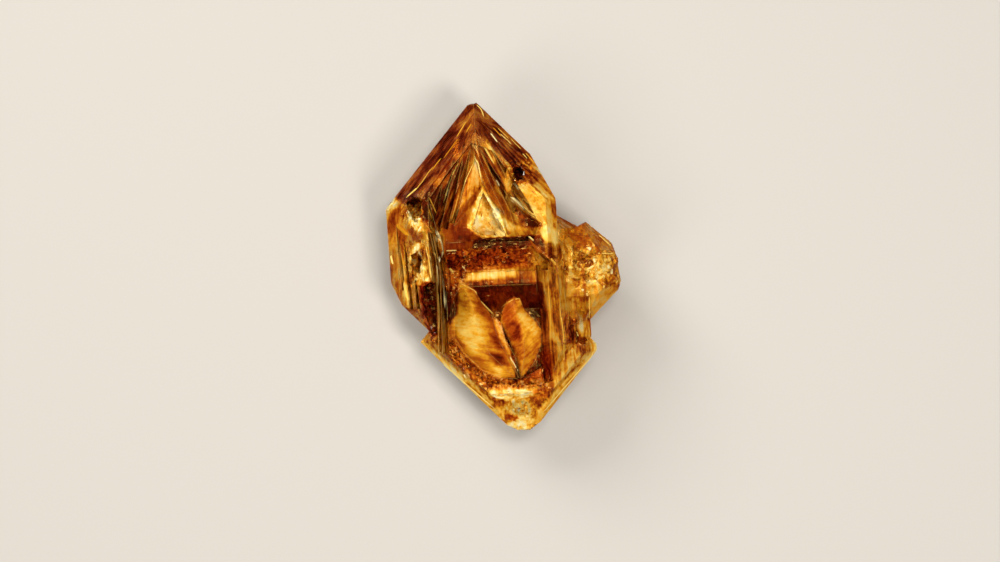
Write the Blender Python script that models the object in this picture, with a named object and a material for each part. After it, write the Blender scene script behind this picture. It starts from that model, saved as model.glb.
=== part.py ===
"""A doubly terminated citrine crystal, 59 mm from tip to tip, with smaller crystals grown into its side.

Units are metres, and the tables and shapes below are in millimetres. The crystal lies on its rear prism
face: +Z is the normal of its front prism face, and +Y runs along the c axis of the quartz, towards the
larger tip. All is laid out from the floor up, and moved at the end so that the origin is the middle of
the bounding box's underside.

The group is a skeletal crystal. Its edges grew ahead of its faces, so the front is hollowed in steps
between ribs.
"""

import math
import random

import bmesh
import bpy
from mathutils import Matrix, Vector

MM = 0.001

# ---- Quartz ----
# Six prism faces round the c axis, named by where they face, in degrees from the front.
FRONT, FRONT_RIGHT, REAR_RIGHT, REAR, REAR_LEFT, FRONT_LEFT = 0, 60, 120, 180, 240, 300
SIDES = (FRONT, FRONT_RIGHT, REAR_RIGHT, REAR, REAR_LEFT, FRONT_LEFT)
POINT_ANGLE = 38.2  # degrees between a termination face and the c axis
BLOCK = 120 * MM  # the block that a crystal is cut from

# ---- The crystals of the group ----
# axis: where the c axis passes, as (x, z). prism: how far each prism face is from that axis. top and
# bottom: the height at which each termination face would cross the axis. point_angle: where the faces
# are steeper or flatter.
CRYSTALS = {
    "upper": {
        "axis": (-3.25, 11.0),
        "prism": {
            FRONT: 10.0, FRONT_RIGHT: 15.4, REAR_RIGHT: 8.7, REAR: 11.0, REAR_LEFT: 14.9, FRONT_LEFT: 13.8,
        },
        "top": {FRONT_RIGHT: 31.0, REAR_RIGHT: 30.9, REAR: 31.2, REAR_LEFT: 30.4, FRONT_LEFT: 29.8},
        "bottom": {
            FRONT: -21.7, FRONT_RIGHT: -22.5, REAR_RIGHT: -22.0,
            REAR: -20.5, REAR_LEFT: -20.4, FRONT_LEFT: -23.2,
        },
    },
    "lower": {
        "axis": (2.5, 10.3),
        "prism": {
            FRONT: 4.7, FRONT_RIGHT: 12.0, REAR_RIGHT: 12.0, REAR: 10.3, REAR_LEFT: 15.6, FRONT_LEFT: 15.6,
        },
        "top": {
            FRONT: 4.0, FRONT_RIGHT: 0.3, REAR_RIGHT: 0.3,
            REAR: 3.0, REAR_LEFT: 7.0, FRONT_LEFT: 7.0,
        },
        "bottom": {
            FRONT: -28.3, FRONT_RIGHT: -31.4, REAR_RIGHT: -31.4,
            REAR: -32.0, REAR_LEFT: -32.0, FRONT_LEFT: -32.0,
        },
    },
    "column": {
        "axis": (4.0, 10.0),
        "prism": {
            FRONT: 9.2, FRONT_RIGHT: 9.95, REAR_RIGHT: 9.95,
            REAR: 8.0, REAR_LEFT: 8.0, FRONT_LEFT: 8.0,
        },
        "top": dict.fromkeys(SIDES, 16.0),
        "bottom": dict.fromkeys(SIDES, -27.0),
    },
    "side": {
        "axis": (13.5, 11.0),
        "prism": {
            FRONT: 6.0, FRONT_RIGHT: 7.1, REAR_RIGHT: 7.1,
            REAR: 7.0, REAR_LEFT: 8.0, FRONT_LEFT: 8.0,
        },
        "top": dict.fromkeys(SIDES, 9.3),
        "bottom": dict.fromkeys(SIDES, -12.4),
        "point_angle": 43.0,
    },
    "column edge": {
        "axis": (12.3, 11.2),
        "prism": {
            FRONT: 4.6, FRONT_RIGHT: 2.9, REAR_RIGHT: 2.7,
            REAR: 4.0, REAR_LEFT: 3.0, FRONT_LEFT: 3.4,
        },
        "top": dict.fromkeys(SIDES, 3.6),
        "bottom": dict.fromkeys(SIDES, -17.0),
    },
    "side front": {
        "axis": (17.4, 13.2),
        "prism": {
            FRONT: 5.6, FRONT_RIGHT: 3.1, REAR_RIGHT: 3.4,
            REAR: 4.0, REAR_LEFT: 3.0, FRONT_LEFT: 2.7,
        },
        "top": {
            FRONT: 6.8, FRONT_RIGHT: 4.6, REAR_RIGHT: 4.2,
            REAR: 4.2, REAR_LEFT: 4.4, FRONT_LEFT: 5.2,
        },
        "bottom": dict.fromkeys(SIDES, -7.2),
        "point_angle": 41.0,
    },
    "side inner": {
        "axis": (12.6, 13.6),
        "prism": {
            FRONT: 4.6, FRONT_RIGHT: 2.6, REAR_RIGHT: 3.0,
            REAR: 4.0, REAR_LEFT: 3.0, FRONT_LEFT: 2.6,
        },
        "top": {
            FRONT: 7.6, FRONT_RIGHT: 6.0, REAR_RIGHT: 5.8,
            REAR: 5.8, REAR_LEFT: 5.8, FRONT_LEFT: 6.4,
        },
        "bottom": dict.fromkeys(SIDES, -6.0),
        "point_angle": 43.0,
    },
    "small": {
        "axis": (9.0, 11.5),
        "prism": {
            FRONT: 5.2, FRONT_RIGHT: 5.0, REAR_RIGHT: 5.2,
            REAR: 6.0, REAR_LEFT: 6.0, FRONT_LEFT: 6.0,
        },
        "top": dict.fromkeys(SIDES, 9.7),
        "bottom": dict.fromkeys(SIDES, -9.0),
        "point_angle": 54.0,
    },
}
# Where a tip or a corner is worn or grown blunt: the crystal, a point of the face and the way it faces.
BLUNTED = (
    ("upper", (-3.2, 29.55, 11.0), (-0.25, 1.0, 0.15)),
    ("lower", (3.0, -29.55, 10.3), (-0.08, -1.0, 0.1)),
    ("lower", (0.6, -29.0, 10.3), (-0.5, -1.0, 0.25)),
    ("side", (20.45, 2.2, 11.0), (1.0, 0.18, 0.2)),
    ("side", (21.2, -4.6, 12.0), (1.0, -0.35, 0.1)),
    ("side", (15.8, 6.95, 11.0), (-0.42, 0.9, 0.0)),
)


def clear_scene():
    for obj in list(bpy.data.objects):
        bpy.data.objects.remove(obj)


# ---- Shapes ----


def add_object(name, bm):
    """An object that takes its mesh from bm, which is freed."""
    bmesh.ops.recalc_face_normals(bm, faces=bm.faces[:])
    mesh = bpy.data.meshes.new(name)
    bm.to_mesh(mesh)
    bm.free()
    obj = bpy.data.objects.new(name, mesh)
    obj.hide_render = True
    obj.display_type = "WIRE"
    return obj


def prism_normal(side):
    turn = math.radians(side)
    return Vector((math.sin(turn), 0, math.cos(turn)))


def point_normal(side, end, angle):
    """The normal of a termination face. end is 1 for the upper tip and -1 for the lower."""
    tilt = math.radians(angle)
    return prism_normal(side) * math.cos(tilt) + Vector((0, end * math.sin(tilt), 0))


def cut_flat(bm, point, normal):
    """Takes off all that lies beyond the plane, and closes the cut with one face."""
    geometry = bm.verts[:] + bm.edges[:] + bm.faces[:]
    cut = bmesh.ops.bisect_plane(
        bm, geom=geometry, dist=1e-7, plane_co=point, plane_no=normal, clear_outer=True
    )
    rim = [part for part in cut["geom_cut"] if isinstance(part, bmesh.types.BMEdge)]
    if rim:
        bmesh.ops.contextual_create(bm, geom=rim)


def crystal(name):
    """One whole crystal of the group, cut from a block by its prism and termination faces."""
    habit = CRYSTALS[name]
    x, z = habit["axis"]
    axis = Vector((x, 0, z)) * MM
    angle = habit.get("point_angle", POINT_ANGLE)
    bm = bmesh.new()
    bmesh.ops.create_cube(bm, size=BLOCK, matrix=Matrix.Translation(axis))
    for side, distance in habit["prism"].items():
        cut_flat(bm, axis + prism_normal(side) * distance * MM, prism_normal(side))
    for end, key in ((1, "top"), (-1, "bottom")):
        for side, height in habit[key].items():
            cut_flat(bm, axis + Vector((0, height * MM, 0)), point_normal(side, end, angle))
    for blunted, point, facing in BLUNTED:
        if blunted == name:
            cut_flat(bm, Vector(point) * MM, Vector(facing).normalized())
    return add_object(f"{name} crystal", bm)


def height_at(level, x, y):
    """level is a height, or a slope as (height at x = 0 and y = 0, rise per mm of x, rise per mm of y)."""
    if isinstance(level, tuple):
        return level[0] + level[1] * x + level[2] * y
    return level


def slab(name, outline, low, high, inset=0.0):
    """A solid over an outline of (x, y), from the level low up to high.

    inset draws its low face in, for slanted walls.
    """
    middle = sum((Vector(point) for point in outline), Vector((0, 0))) / len(outline)
    bm = bmesh.new()
    lower, upper = [], []
    for x, y in outline:
        inward = (middle - Vector((x, y))).normalized() * inset
        near_x, near_y = x + inward.x, y + inward.y
        lower.append(bm.verts.new(Vector((near_x, near_y, height_at(low, near_x, near_y))) * MM))
        upper.append(bm.verts.new(Vector((x, y, height_at(high, x, y))) * MM))
    bm.faces.new(lower)
    bm.faces.new(upper)
    for this in range(len(outline)):
        after = (this + 1) % len(outline)
        bm.faces.new((lower[this], lower[after], upper[after], upper[this]))
    return add_object(name, bm)


def leaf(name, outline, base, edge, spine):
    """A plate grown up from the height base, with its rim at the level edge.

    Its top rises from the rim to the points of spine.
    """
    bm = bmesh.new()
    lower = [bm.verts.new(Vector((x, y, base)) * MM) for x, y in outline]
    rim = [bm.verts.new(Vector((x, y, height_at(edge, x, y))) * MM) for x, y in outline]
    ridge = [bm.verts.new(Vector(point) * MM) for point in spine]
    bm.faces.new(lower)
    nearest = [min(ridge, key=lambda top: (top.co - corner.co).length) for corner in rim]
    for this in range(len(outline)):
        after = (this + 1) % len(outline)
        bm.faces.new((lower[this], lower[after], rim[after], rim[this]))
        bm.faces.new((rim[this], rim[after], nearest[this]))
        here, there = ridge.index(nearest[this]), ridge.index(nearest[after])
        step = 1 if there > here else -1
        for top in range(here, there, step):
            bm.faces.new((rim[after], ridge[top + step], ridge[top]))
    return add_object(name, bm)


def hull(name, points):
    bm = bmesh.new()
    for point in points:
        bm.verts.new(Vector(point) * MM)
    shape = bmesh.ops.convex_hull(bm, input=bm.verts[:])
    spare = shape["geom_interior"] + shape["geom_unused"]
    spare = [part for part in spare if isinstance(part, bmesh.types.BMVert)]
    bmesh.ops.delete(bm, geom=spare, context="VERTS")
    bmesh.ops.dissolve_limit(bm, angle_limit=0.001, verts=bm.verts[:], edges=bm.edges[:])
    return add_object(name, bm)


def wedge(name, start, end, width, depth, lean=0.0, start_width=0.3):
    """A rib with a sharp crest from start to end.

    Its foot is depth below the crest, and grows from start_width to width. lean moves the crest sideways
    over the foot. A negative depth gives a groove, whose keel is the line.
    """
    start, end = Vector(start), Vector(end)
    across = Vector((0, 0, 1)).cross(end - start).normalized()
    down = Vector((0, 0, -depth))
    points = [start + across * lean, end + across * lean]
    for foot, reach in ((start, start_width / 2), (end, width / 2)):
        points += [foot + across * reach + down, foot - across * reach + down]
    return hull(name, points)


def lump(name, centre, size, chance, flat=1.0):
    """An angular grain: the hull of points scattered on a ball of that diameter."""
    points = []
    for _ in range(11):
        way = Vector((chance.gauss(0, 1), chance.gauss(0, 1), chance.gauss(0, 1) * flat)).normalized()
        points.append(Vector(centre) + way * size / 2)
    return hull(name, points)


# ---- The front of the upper crystal ----
SKIN = 24.0  # above every face of the group, where a cutter's upper face lies
UPPER_HOLLOW = (
    (-3.6, 22.6), (-8.0, 17.9), (-12.1, 12.8), (-12.3, 7.6), (-10.3, 4.6),
    (-3.0, 4.3), (6.4, 4.0), (7.7, 6.8), (6.1, 11.0), (3.1, 16.6), (0.1, 21.0),
)
HOLLOW_FLOOR = (15.6, 0.0, 0.2)
BRIGHT_BAY = ((-2.1, 14.0), (-5.0, 6.9), (-3.2, 5.5), (1.8, 5.1), (0.4, 9.4))
RIGHT_PIT = ((3.4, 17.6), (4.9, 17.9), (5.8, 16.9), (5.4, 15.1), (4.1, 14.6), (3.1, 15.8))
FLUTE_DEPTH = 4.0
# Flutes that spread from the top of the hollow. Each: start and end of its keel, width at its end, lean.
UPPER_FLUTES = (
    ((-4.1, 21.2, 18.6), (-8.0, 8.4, 14.2), 2.2, 0.5),
    ((-5.6, 19.8, 18.0), (-9.7, 7.6, 13.6), 2.2, 0.5),
    ((-7.3, 17.8, 17.4), (-11.1, 7.2, 13.2), 2.0, 0.4),
    ((-9.4, 15.4, 17.2), (-12.0, 8.0, 14.2), 1.6, 0.3),
    ((-1.7, 21.0, 18.6), (3.5, 9.6, 14.2), 1.9, -0.4),
    ((0.5, 20.2, 18.4), (5.3, 10.0, 14.6), 1.9, -0.4),
    ((2.3, 17.6, 17.8), (6.6, 8.8, 15.0), 1.8, -0.3),
)
# Ribs left standing in it. Each: start, end, width at its end, depth, lean.
UPPER_RIBS = (
    ((-5.2, 21.0, 20.4), (-9.0, 10.6, 18.0), 0.9, 4.4, -0.2),
    ((-0.5, 21.2, 21.1), (1.9, 15.6, 19.6), 1.2, 4.4, 0.3),
    ((2.5, 12.7, 20.2), (6.0, 8.6, 19.2), 1.0, 4.4, -0.3),
    ((3.9, 12.7, 20.7), (7.8, 7.2, 19.9), 1.2, 4.4, -0.3),
    ((-11.9, 12.2, 20.4), (-10.8, 6.4, 18.6), 0.9, 5.0, 0.2),
)
# The plates among the ribs: outline, height of the rim, spine.
GOLDEN_BAND = (
    (-3.5, 22.2), (-2.6, 22.0), (-1.3, 18.5), (0.7, 13.4), (2.4, 10.1), (3.0, 6.4), (1.9, 5.6), (0.9, 9.7),
    (-0.9, 12.3), (-2.2, 16.1),
)
GOLDEN_SPINE = [(-2.3, 19.6, 20.7), (-0.6, 14.4, 20.2), (1.3, 9.8, 19.4)]
BRIGHT_BLADE = (
    (-3.1, 19.2), (-2.2, 16.0), (-2.6, 13.4), (-5.0, 10.3), (-7.6, 7.9), (-6.4, 10.9), (-4.6, 14.6),
)
BRIGHT_SPINE = [(-3.3, 16.0, 20.0), (-4.8, 12.2, 19.2)]
SPEAR = ((2.7, 17.9), (3.3, 15.6), (2.9, 13.6), (2.1, 12.9), (1.8, 14.8), (2.1, 16.6))
ROD = ((5.2, 5.3, 19.6), (10.2, 0.8, 20.2))  # it lies across a corner of the window
# Narrow growth steps on the termination faces, beside the hollow.
POINT_STEPS = (
    ((0.0, 24.4, 16.0), (1.9, 21.0, 17.9), 0.7, 1.6),
    ((2.2, 23.5, 13.6), (3.9, 20.9, 14.6), 0.7, 1.6),
    ((-6.4, 22.5, 17.0), (-10.8, 16.8, 16.6), 0.9, 1.6),
    ((-8.6, 21.9, 13.6), (-12.8, 17.0, 13.4), 0.8, 1.6),
)


def upper_front():
    """The hollow under the upper tip, with ribs that spread from its top."""
    hollows = [
        slab("upper hollow", UPPER_HOLLOW, HOLLOW_FLOOR, SKIN, inset=0.5),
        slab("bright bay", BRIGHT_BAY, (10.4, 0.0, 0.34), SKIN, inset=0.6),
        slab("right pit", RIGHT_PIT, 14.2, SKIN, inset=0.8),
    ]
    for n, (start, end, width, lean) in enumerate(UPPER_FLUTES):
        hollows.append(wedge(f"flute {n}", start, end, width, -FLUTE_DEPTH, lean=lean))
    ribs = [wedge(f"upper rib {n}", *rib) for n, rib in enumerate(UPPER_RIBS)]
    ribs.append(leaf("golden band", GOLDEN_BAND, 12.0, (16.4, 0.0, 0.19), GOLDEN_SPINE))
    ribs.append(leaf("bright blade", BRIGHT_BLADE, 12.0, (16.0, 0.0, 0.18), BRIGHT_SPINE))
    ribs.append(leaf("spear", SPEAR, 14.0, 18.6, [(2.5, 15.4, 20.0)]))
    ribs.append(wedge("rod", *ROD, 0.9, 3.6, start_width=0.9))
    for n, (start, end, width, depth) in enumerate(POINT_STEPS):
        ribs.append(wedge(f"point step {n}", start, end, width, depth, start_width=width / 2))
    return hollows, ribs, []


# ---- The window: the stepped hollow below, with plates grown up from its floor ----
LENS = ((-11.0, 7.9), (-9.1, 8.7), (-2.7, 5.3), (-5.6, 3.2), (-10.3, 2.8))
SLOT = ((-3.9, 4.2, 13.0), (7.4, 4.0, 13.6))  # its keel
SLOT_WIDTH = 2.3
ROUGH_STEP = ((-9.7, 4.2), (-3.5, 3.6), (6.0, 3.4), (9.0, 0.7), (8.8, -1.2), (-9.9, -0.6))
ROUGH_FLOOR = (13.9, 0.0, 1.05)
WINDOW = (
    (-9.5, 0.9), (-7.0, 0.4), (6.8, -0.2), (7.7, -1.4), (7.7, -9.0), (7.6, -18.6), (6.0, -21.2),
    (2.0, -21.6), (-3.1, -21.2), (-6.6, -18.4), (-10.6, -13.4), (-9.9, -5.3),
)
WINDOW_STEP = 13.4
RIGHT_WALL = (
    (6.4, -0.1), (9.4, -0.6), (10.2, -2.2), (10.2, -9.0), (9.9, -18.0), (8.2, -20.9), (6.4, -21.4),
    (6.2, -10.0),
)
RIGHT_WALL_RISE = (-0.4, 1.85, 0.0)
WELL_SLOPE = ((-7.6, -3.0), (1.0, -3.1), (7.2, -3.5), (7.4, -8.0), (-8.6, -8.0), (-9.0, -5.0))
WELL_SLOPE_RISE = (15.8, 0.0, 0.83)
WELL = (
    (-4.6, -7.0), (1.0, -7.0), (7.2, -7.0), (7.5, -9.0), (7.3, -15.6), (6.9, -19.0), (3.0, -20.9),
    (-1.4, -20.6), (-4.8, -18.8), (-8.0, -15.2), (-9.6, -12.0), (-9.2, -7.0),
)
WELL_FLOOR = 9.6
LEFT_PLATE = (
    (-7.5, -1.6), (-4.9, -3.8), (-3.7, -6.2), (-1.3, -9.8), (0.4, -14.1), (1.5, -17.8), (1.4, -20.1),
    (-1.4, -19.9), (-4.9, -18.1), (-7.9, -14.6), (-9.8, -11.6), (-10.1, -9.8), (-8.2, -5.9),
)
LEFT_SPINE = [(-5.6, -6.0, 14.6), (-4.9, -10.6, 15.4), (-2.9, -15.4, 14.6)]
RIGHT_PLATE = (
    (0.8, -6.2), (2.1, -5.4), (3.2, -6.0), (3.8, -8.0), (5.4, -9.9), (6.6, -11.7), (6.4, -14.5),
    (4.7, -17.8), (2.3, -20.3), (1.9, -17.3), (0.8, -13.2), (-0.6, -9.9), (-0.2, -8.1),
)
RIGHT_SPINE = [(2.2, -8.4, 14.0), (3.5, -12.0, 14.4), (3.2, -16.4, 13.6)]
BLADE = (
    (-2.1, -8.5), (-0.5, -10.1), (0.2, -13.8), (1.6, -16.3), (1.9, -20.0), (0.4, -16.2), (-1.2, -13.1),
)
GRAIN_LINE = ((-10.4, -13.0), (-8.3, -16.6), (-5.3, -19.9), (-2.4, -21.2), (2.0, -21.1), (6.2, -20.6))
GRAINS_EACH_WAY = 5
ROUGH_GRAINS = 26


def along(points, steps):
    """Points spaced evenly on each stretch of a line."""
    for first, second in zip(points, points[1:]):
        for step in range(steps):
            share = step / steps
            yield [a + (b - a) * share for a, b in zip(first, second)]


def window():
    """Steps down from the upper crystal, plates that stand in the well, and grains along its lower edge."""
    hollows = [
        slab("lens", LENS, (14.2, -0.1, 0.35), SKIN, inset=0.2),
        wedge("slot", *SLOT, SLOT_WIDTH, -6.0, start_width=SLOT_WIDTH),
        slab("rough step", ROUGH_STEP, ROUGH_FLOOR, SKIN, inset=0.3),
        slab("window step", WINDOW, (WINDOW_STEP, 0.0, 0.03), SKIN, inset=0.6),
        slab("right wall", RIGHT_WALL, RIGHT_WALL_RISE, SKIN),
        slab("well slope", WELL_SLOPE, WELL_SLOPE_RISE, SKIN, inset=0.3),
        slab("well", WELL, WELL_FLOOR, SKIN, inset=0.9),
    ]
    growths = [
        leaf("left plate", LEFT_PLATE, WELL_FLOOR - 0.7, 12.3, LEFT_SPINE),
        leaf("right plate", RIGHT_PLATE, WELL_FLOOR - 0.6, 12.0, RIGHT_SPINE),
        leaf("blade", BLADE, WELL_FLOOR - 0.5, 13.2, [(-0.2, -12.6, 14.2)]),
    ]
    chance = random.Random(11)
    for n, (x, y) in enumerate(along(GRAIN_LINE, GRAINS_EACH_WAY)):
        x += chance.uniform(-0.5, 0.5)
        y += chance.uniform(-0.5, 0.5)
        growths.append(lump(f"grain {n}", (x, y, WINDOW_STEP), chance.uniform(1.1, 1.9), chance))
    for n in range(ROUGH_GRAINS):
        x, y = chance.uniform(-8.8, 6.5), chance.uniform(0.3, 3.3)
        centre = (x, y, height_at(ROUGH_FLOOR, x, y))
        growths.append(lump(f"rough grain {n}", centre, chance.uniform(1.0, 2.0), chance, flat=0.7))
    return hollows, growths, []


# ---- The left flank ----
GALLERY = (
    (-12.3, 7.2), (-9.8, 6.6), (-9.5, 0.5), (-9.7, -6.0), (-10.3, -15.4), (-12.4, -13.6), (-12.4, -5.0),
)
FLANK_POCKET = ((-13.8, -2.3), (-12.6, -1.7), (-10.8, -1.6), (-11.2, -11.0), (-13.0, -11.2), (-13.9, -8.2))
CHIPPED_POCKET = ((-16.2, 12.9), (-14.3, 13.9), (-12.9, 13.2), (-12.9, 10.4), (-14.0, 8.6), (-15.6, 9.6))
SMALL_POCKET = ((-15.9, 3.5), (-14.4, 4.2), (-13.4, 2.2), (-14.2, -0.6), (-15.8, 0.4))
COLUMNS = (
    ((-12.2, 8.4, 20.6), (-11.2, 1.8, 19.6), (-11.9, -14.4, 16.2)),
    ((-11.5, 6.6, 20.2), (-10.6, 0.4, 19.4), (-11.3, -14.8, 16.0)),
    ((-10.7, 5.4, 19.4), (-9.9, -1.4, 18.6), (-10.6, -15.0, 15.4)),
    ((-9.9, 1.6, 18.0), (-9.5, -5.3, 17.2), (-10.1, -9.4, 16.2)),
)
FLANK_GROOVES = (
    ((-18.2, 8.4, 9.8), (-17.7, -3.0, 9.8)),
    ((-16.9, 6.0, 12.4), (-16.5, -6.6, 12.0)),
    ((-15.4, -1.2, 14.8), (-15.2, -6.4, 14.6)),
)
FLANK_GROOVE_WIDTH = 1.5
FLANK_CHIPS = (
    ((-15.0, 11.2, 13.7), 1.9), ((-13.8, 9.5, 18.0), 1.3), ((-15.4, 8.4, 15.4), 1.1),
    ((-14.5, 5.6, 16.6), 1.4), ((-13.7, 12.0, 13.8), 1.6), ((-14.7, 3.2, 15.8), 1.2),
)


def left_flank():
    """Slender columns in front of a pocket, and grooves and chipped pockets on the face beside them."""
    hollows = [
        slab("gallery", GALLERY, (15.4, 0.0, 0.08), SKIN, inset=0.3),
        slab("flank pocket", FLANK_POCKET, 11.2, SKIN, inset=0.4),
        slab("chipped pocket", CHIPPED_POCKET, 13.2, SKIN, inset=0.5),
        slab("small pocket", SMALL_POCKET, 13.0, SKIN, inset=0.5),
    ]
    for n, (start, end) in enumerate(FLANK_GROOVES):
        hollows.append(wedge(f"flank groove {n}", start, end, FLANK_GROOVE_WIDTH, -7.0, lean=0.4))
    growths = []
    for n, (top, bend, foot) in enumerate(COLUMNS):
        growths.append(wedge(f"column {n} top", top, bend, 0.75, 4.6, start_width=0.5))
        growths.append(wedge(f"column {n} foot", bend, foot, 0.7, 4.6, start_width=0.75))
    growths.append(wedge("leaning rod", (-17.8, 9.4, 12.9), (-15.4, 6.4, 16.0), 0.8, 2.2))
    chance = random.Random(5)
    for n, (centre, size) in enumerate(FLANK_CHIPS):
        growths.append(lump(f"flank chip {n}", centre, size, chance))
    return hollows, growths, []


# ---- The cup of the lower crystal ----
CUP = (
    (-11.3, -14.3), (-8.0, -17.6), (-4.3, -21.2), (1.0, -21.9), (6.8, -21.9), (8.4, -20.6), (7.4, -17.0),
    (0.0, -13.4), (-9.0, -12.4),
)
CUP_FLOOR = 13.3
TIP_PITS = (((0.2, -27.0, 12.2), 1.5), ((3.3, -24.9, 13.6), 1.2), ((1.9, -25.6, 13.1), 0.9))


def cup():
    """The lower crystal's front is sunk between its raised edges, and its tip is pitted."""
    hollows = [slab("cup", CUP, CUP_FLOOR, SKIN, inset=0.8)]
    chance = random.Random(3)
    pits = [lump(f"tip pit {n}", centre, size, chance) for n, (centre, size) in enumerate(TIP_PITS)]
    growths = [
        wedge("tip ledge", (-3.6, -22.9, 15.4), (5.6, -23.3, 15.3), 1.2, 2.4, lean=0.3, start_width=0.8),
        wedge("right step", (11.2, -15.0, 15.9), (14.6, -13.9, 14.2), 1.4, 2.6, start_width=0.9),
    ]
    return hollows, growths, pits


# ---- The right-hand crystals ----
COLUMN_GROOVES = (
    ((11.6, -8.6, 15.4), (12.0, -15.2, 14.2), 1.2),
    ((12.9, -10.2, 12.6), (12.7, -14.6, 12.4), 1.0),
    ((11.0, 1.6, 15.6), (11.3, -6.4, 16.2), 0.9),
)
SIDE_ROUGH = (14.2, 19.4, -3.8, 1.4)  # from x, to x, from y, to y
SIDE_TOP = 16.9
SIDE_GRAINS = 20
SIDE_PITS = 9


def right_side():
    """Grooves down the column, and the broken, grainy front of the side crystal."""
    chance = random.Random(21)
    west, east, south, north = SIDE_ROUGH
    hollows = []
    for n, (start, end, width) in enumerate(COLUMN_GROOVES):
        hollows.append(wedge(f"column groove {n}", start, end, width, -8.0))
    for n in range(SIDE_PITS):
        centre = (chance.uniform(west - 2, east), chance.uniform(south, north), SIDE_TOP + 0.2)
        hollows.append(lump(f"side pit {n}", centre, chance.uniform(1.2, 2.4), chance))
    growths = []
    for n in range(SIDE_GRAINS):
        x, y = chance.uniform(west, east), chance.uniform(south, north)
        centre = (x, y, SIDE_TOP - chance.uniform(0.3, 0.9))
        growths.append(lump(f"side grain {n}", centre, chance.uniform(1.8, 3.4), chance, flat=0.6))
    return hollows, growths, []


# ---- The rear, which the crystal lies on ----
REAR_STEPS = 3
REAR_STEP_DEPTH = 0.55
UPPER_REAR = ((-12.4, 12.4), (-8.0, 15.4), (-2.0, 13.6), (-0.6, 9.0), (-0.8, 2.4), (-12.2, 3.4))
LOWER_REAR = ((-4.4, -15.6), (2.4, -21.6), (7.0, -17.4), (7.2, -11.6), (-2.6, -11.2))


def shrunk(outline, share):
    """The outline drawn in towards its middle by that share."""
    middle = sum((Vector(point) for point in outline), Vector((0, 0))) / len(outline)
    return [tuple(Vector(point).lerp(middle, share)) for point in outline]


def rear():
    """Shallow growth steps, sunk into the rear faces and ringed by the flat rim that lies on the floor."""
    hollows = []
    for name, outline in (("upper rear", UPPER_REAR), ("lower rear", LOWER_REAR)):
        for step in range(REAR_STEPS):
            inner = shrunk(outline, 0.14 + 0.22 * step)
            hollows.append(slab(f"{name} step {step}", inner, -1.0, REAR_STEP_DEPTH * (step + 1)))
    return hollows, [], []


# ---- The whole ----


def amber_quartz():
    material = bpy.data.materials.new("amber quartz")
    material.use_nodes = True
    shader = material.node_tree.nodes["Principled BSDF"]
    shader.inputs["Base Color"].default_value = (0.87, 0.46, 0.06, 1.0)
    shader.inputs["Roughness"].default_value = 0.06
    shader.inputs["IOR"].default_value = 1.544
    shader.inputs["Transmission Weight"].default_value = 1.0
    return material


def add_boolean(body, name, shapes, operation):
    """One Boolean on body for all the shapes, which are kept together in a collection."""
    group = bpy.data.collections.new(name)
    bpy.context.scene.collection.children.link(group)
    for shape in shapes:
        group.objects.link(shape)
        shape.parent = body
    modifier = body.modifiers.new(name, "BOOLEAN")
    modifier.operand_type = "COLLECTION"
    modifier.collection = group
    modifier.operation = operation
    modifier.solver = "EXACT"


def settle(body):
    """Moves the body so that the origin is the middle of its bounding box's underside."""
    shape = body.evaluated_get(bpy.context.evaluated_depsgraph_get())
    corners = [Vector(corner) for corner in shape.bound_box]
    low = Vector(map(min, *corners))
    high = Vector(map(max, *corners))
    body.location = (-(low.x + high.x) / 2, -(low.y + high.y) / 2, -low.z)


def build():
    clear_scene()
    body = crystal("upper")
    body.name = body.data.name = "citrine_crystal"
    body.hide_render = False
    body.display_type = "TEXTURED"
    body.data.materials.append(amber_quartz())
    bpy.context.scene.collection.objects.link(body)
    hollows, growths, pits = [], [], []
    for feature in (upper_front, window, left_flank, cup, right_side, rear):
        for shapes, more in zip((hollows, growths, pits), feature()):
            shapes += more
    add_boolean(body, "crystals", [crystal(name) for name in CRYSTALS if name != "upper"], "UNION")
    add_boolean(body, "hollows", hollows, "DIFFERENCE")
    add_boolean(body, "growths", growths, "UNION")
    add_boolean(body, "pits", pits, "DIFFERENCE")
    settle(body)


build()
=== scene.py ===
"""The finish of a citrine crystal: clear amber quartz with iron stains, frosted plates and worn edges.

Places are given in millimetres from the zero that the crystal's solid is laid out from, where y runs along
the c axis of the quartz and z is up from the floor.
"""

import math

import bmesh
import bpy
import numpy as np
from bpy.props import FloatProperty, FloatVectorProperty, PointerProperty
from bpy.types import Operator, Panel, PropertyGroup
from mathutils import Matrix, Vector


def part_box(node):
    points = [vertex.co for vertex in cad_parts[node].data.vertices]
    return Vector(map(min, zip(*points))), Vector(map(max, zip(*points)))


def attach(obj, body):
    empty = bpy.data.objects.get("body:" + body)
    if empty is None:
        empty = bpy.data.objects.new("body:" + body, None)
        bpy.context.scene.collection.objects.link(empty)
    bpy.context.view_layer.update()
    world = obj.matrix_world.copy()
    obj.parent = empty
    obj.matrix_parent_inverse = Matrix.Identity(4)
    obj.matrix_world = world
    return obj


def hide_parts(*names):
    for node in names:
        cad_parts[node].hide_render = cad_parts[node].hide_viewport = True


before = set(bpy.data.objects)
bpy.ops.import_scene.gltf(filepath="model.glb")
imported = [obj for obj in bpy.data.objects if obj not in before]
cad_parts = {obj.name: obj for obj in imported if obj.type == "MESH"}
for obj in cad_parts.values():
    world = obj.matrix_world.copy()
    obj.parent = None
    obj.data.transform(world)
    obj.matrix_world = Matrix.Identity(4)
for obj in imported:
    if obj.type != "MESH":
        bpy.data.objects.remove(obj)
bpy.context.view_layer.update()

bl_info = {
    "name": "Citrine crystal",
    "version": (1, 0, 0),
    "blender": (4, 5, 0),
    "location": "View3D > Sidebar > Crystal",
    "description": "Builds the finish of a skeletal citrine crystal and the stage that it lies on",
    "category": "Object",
}

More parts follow.
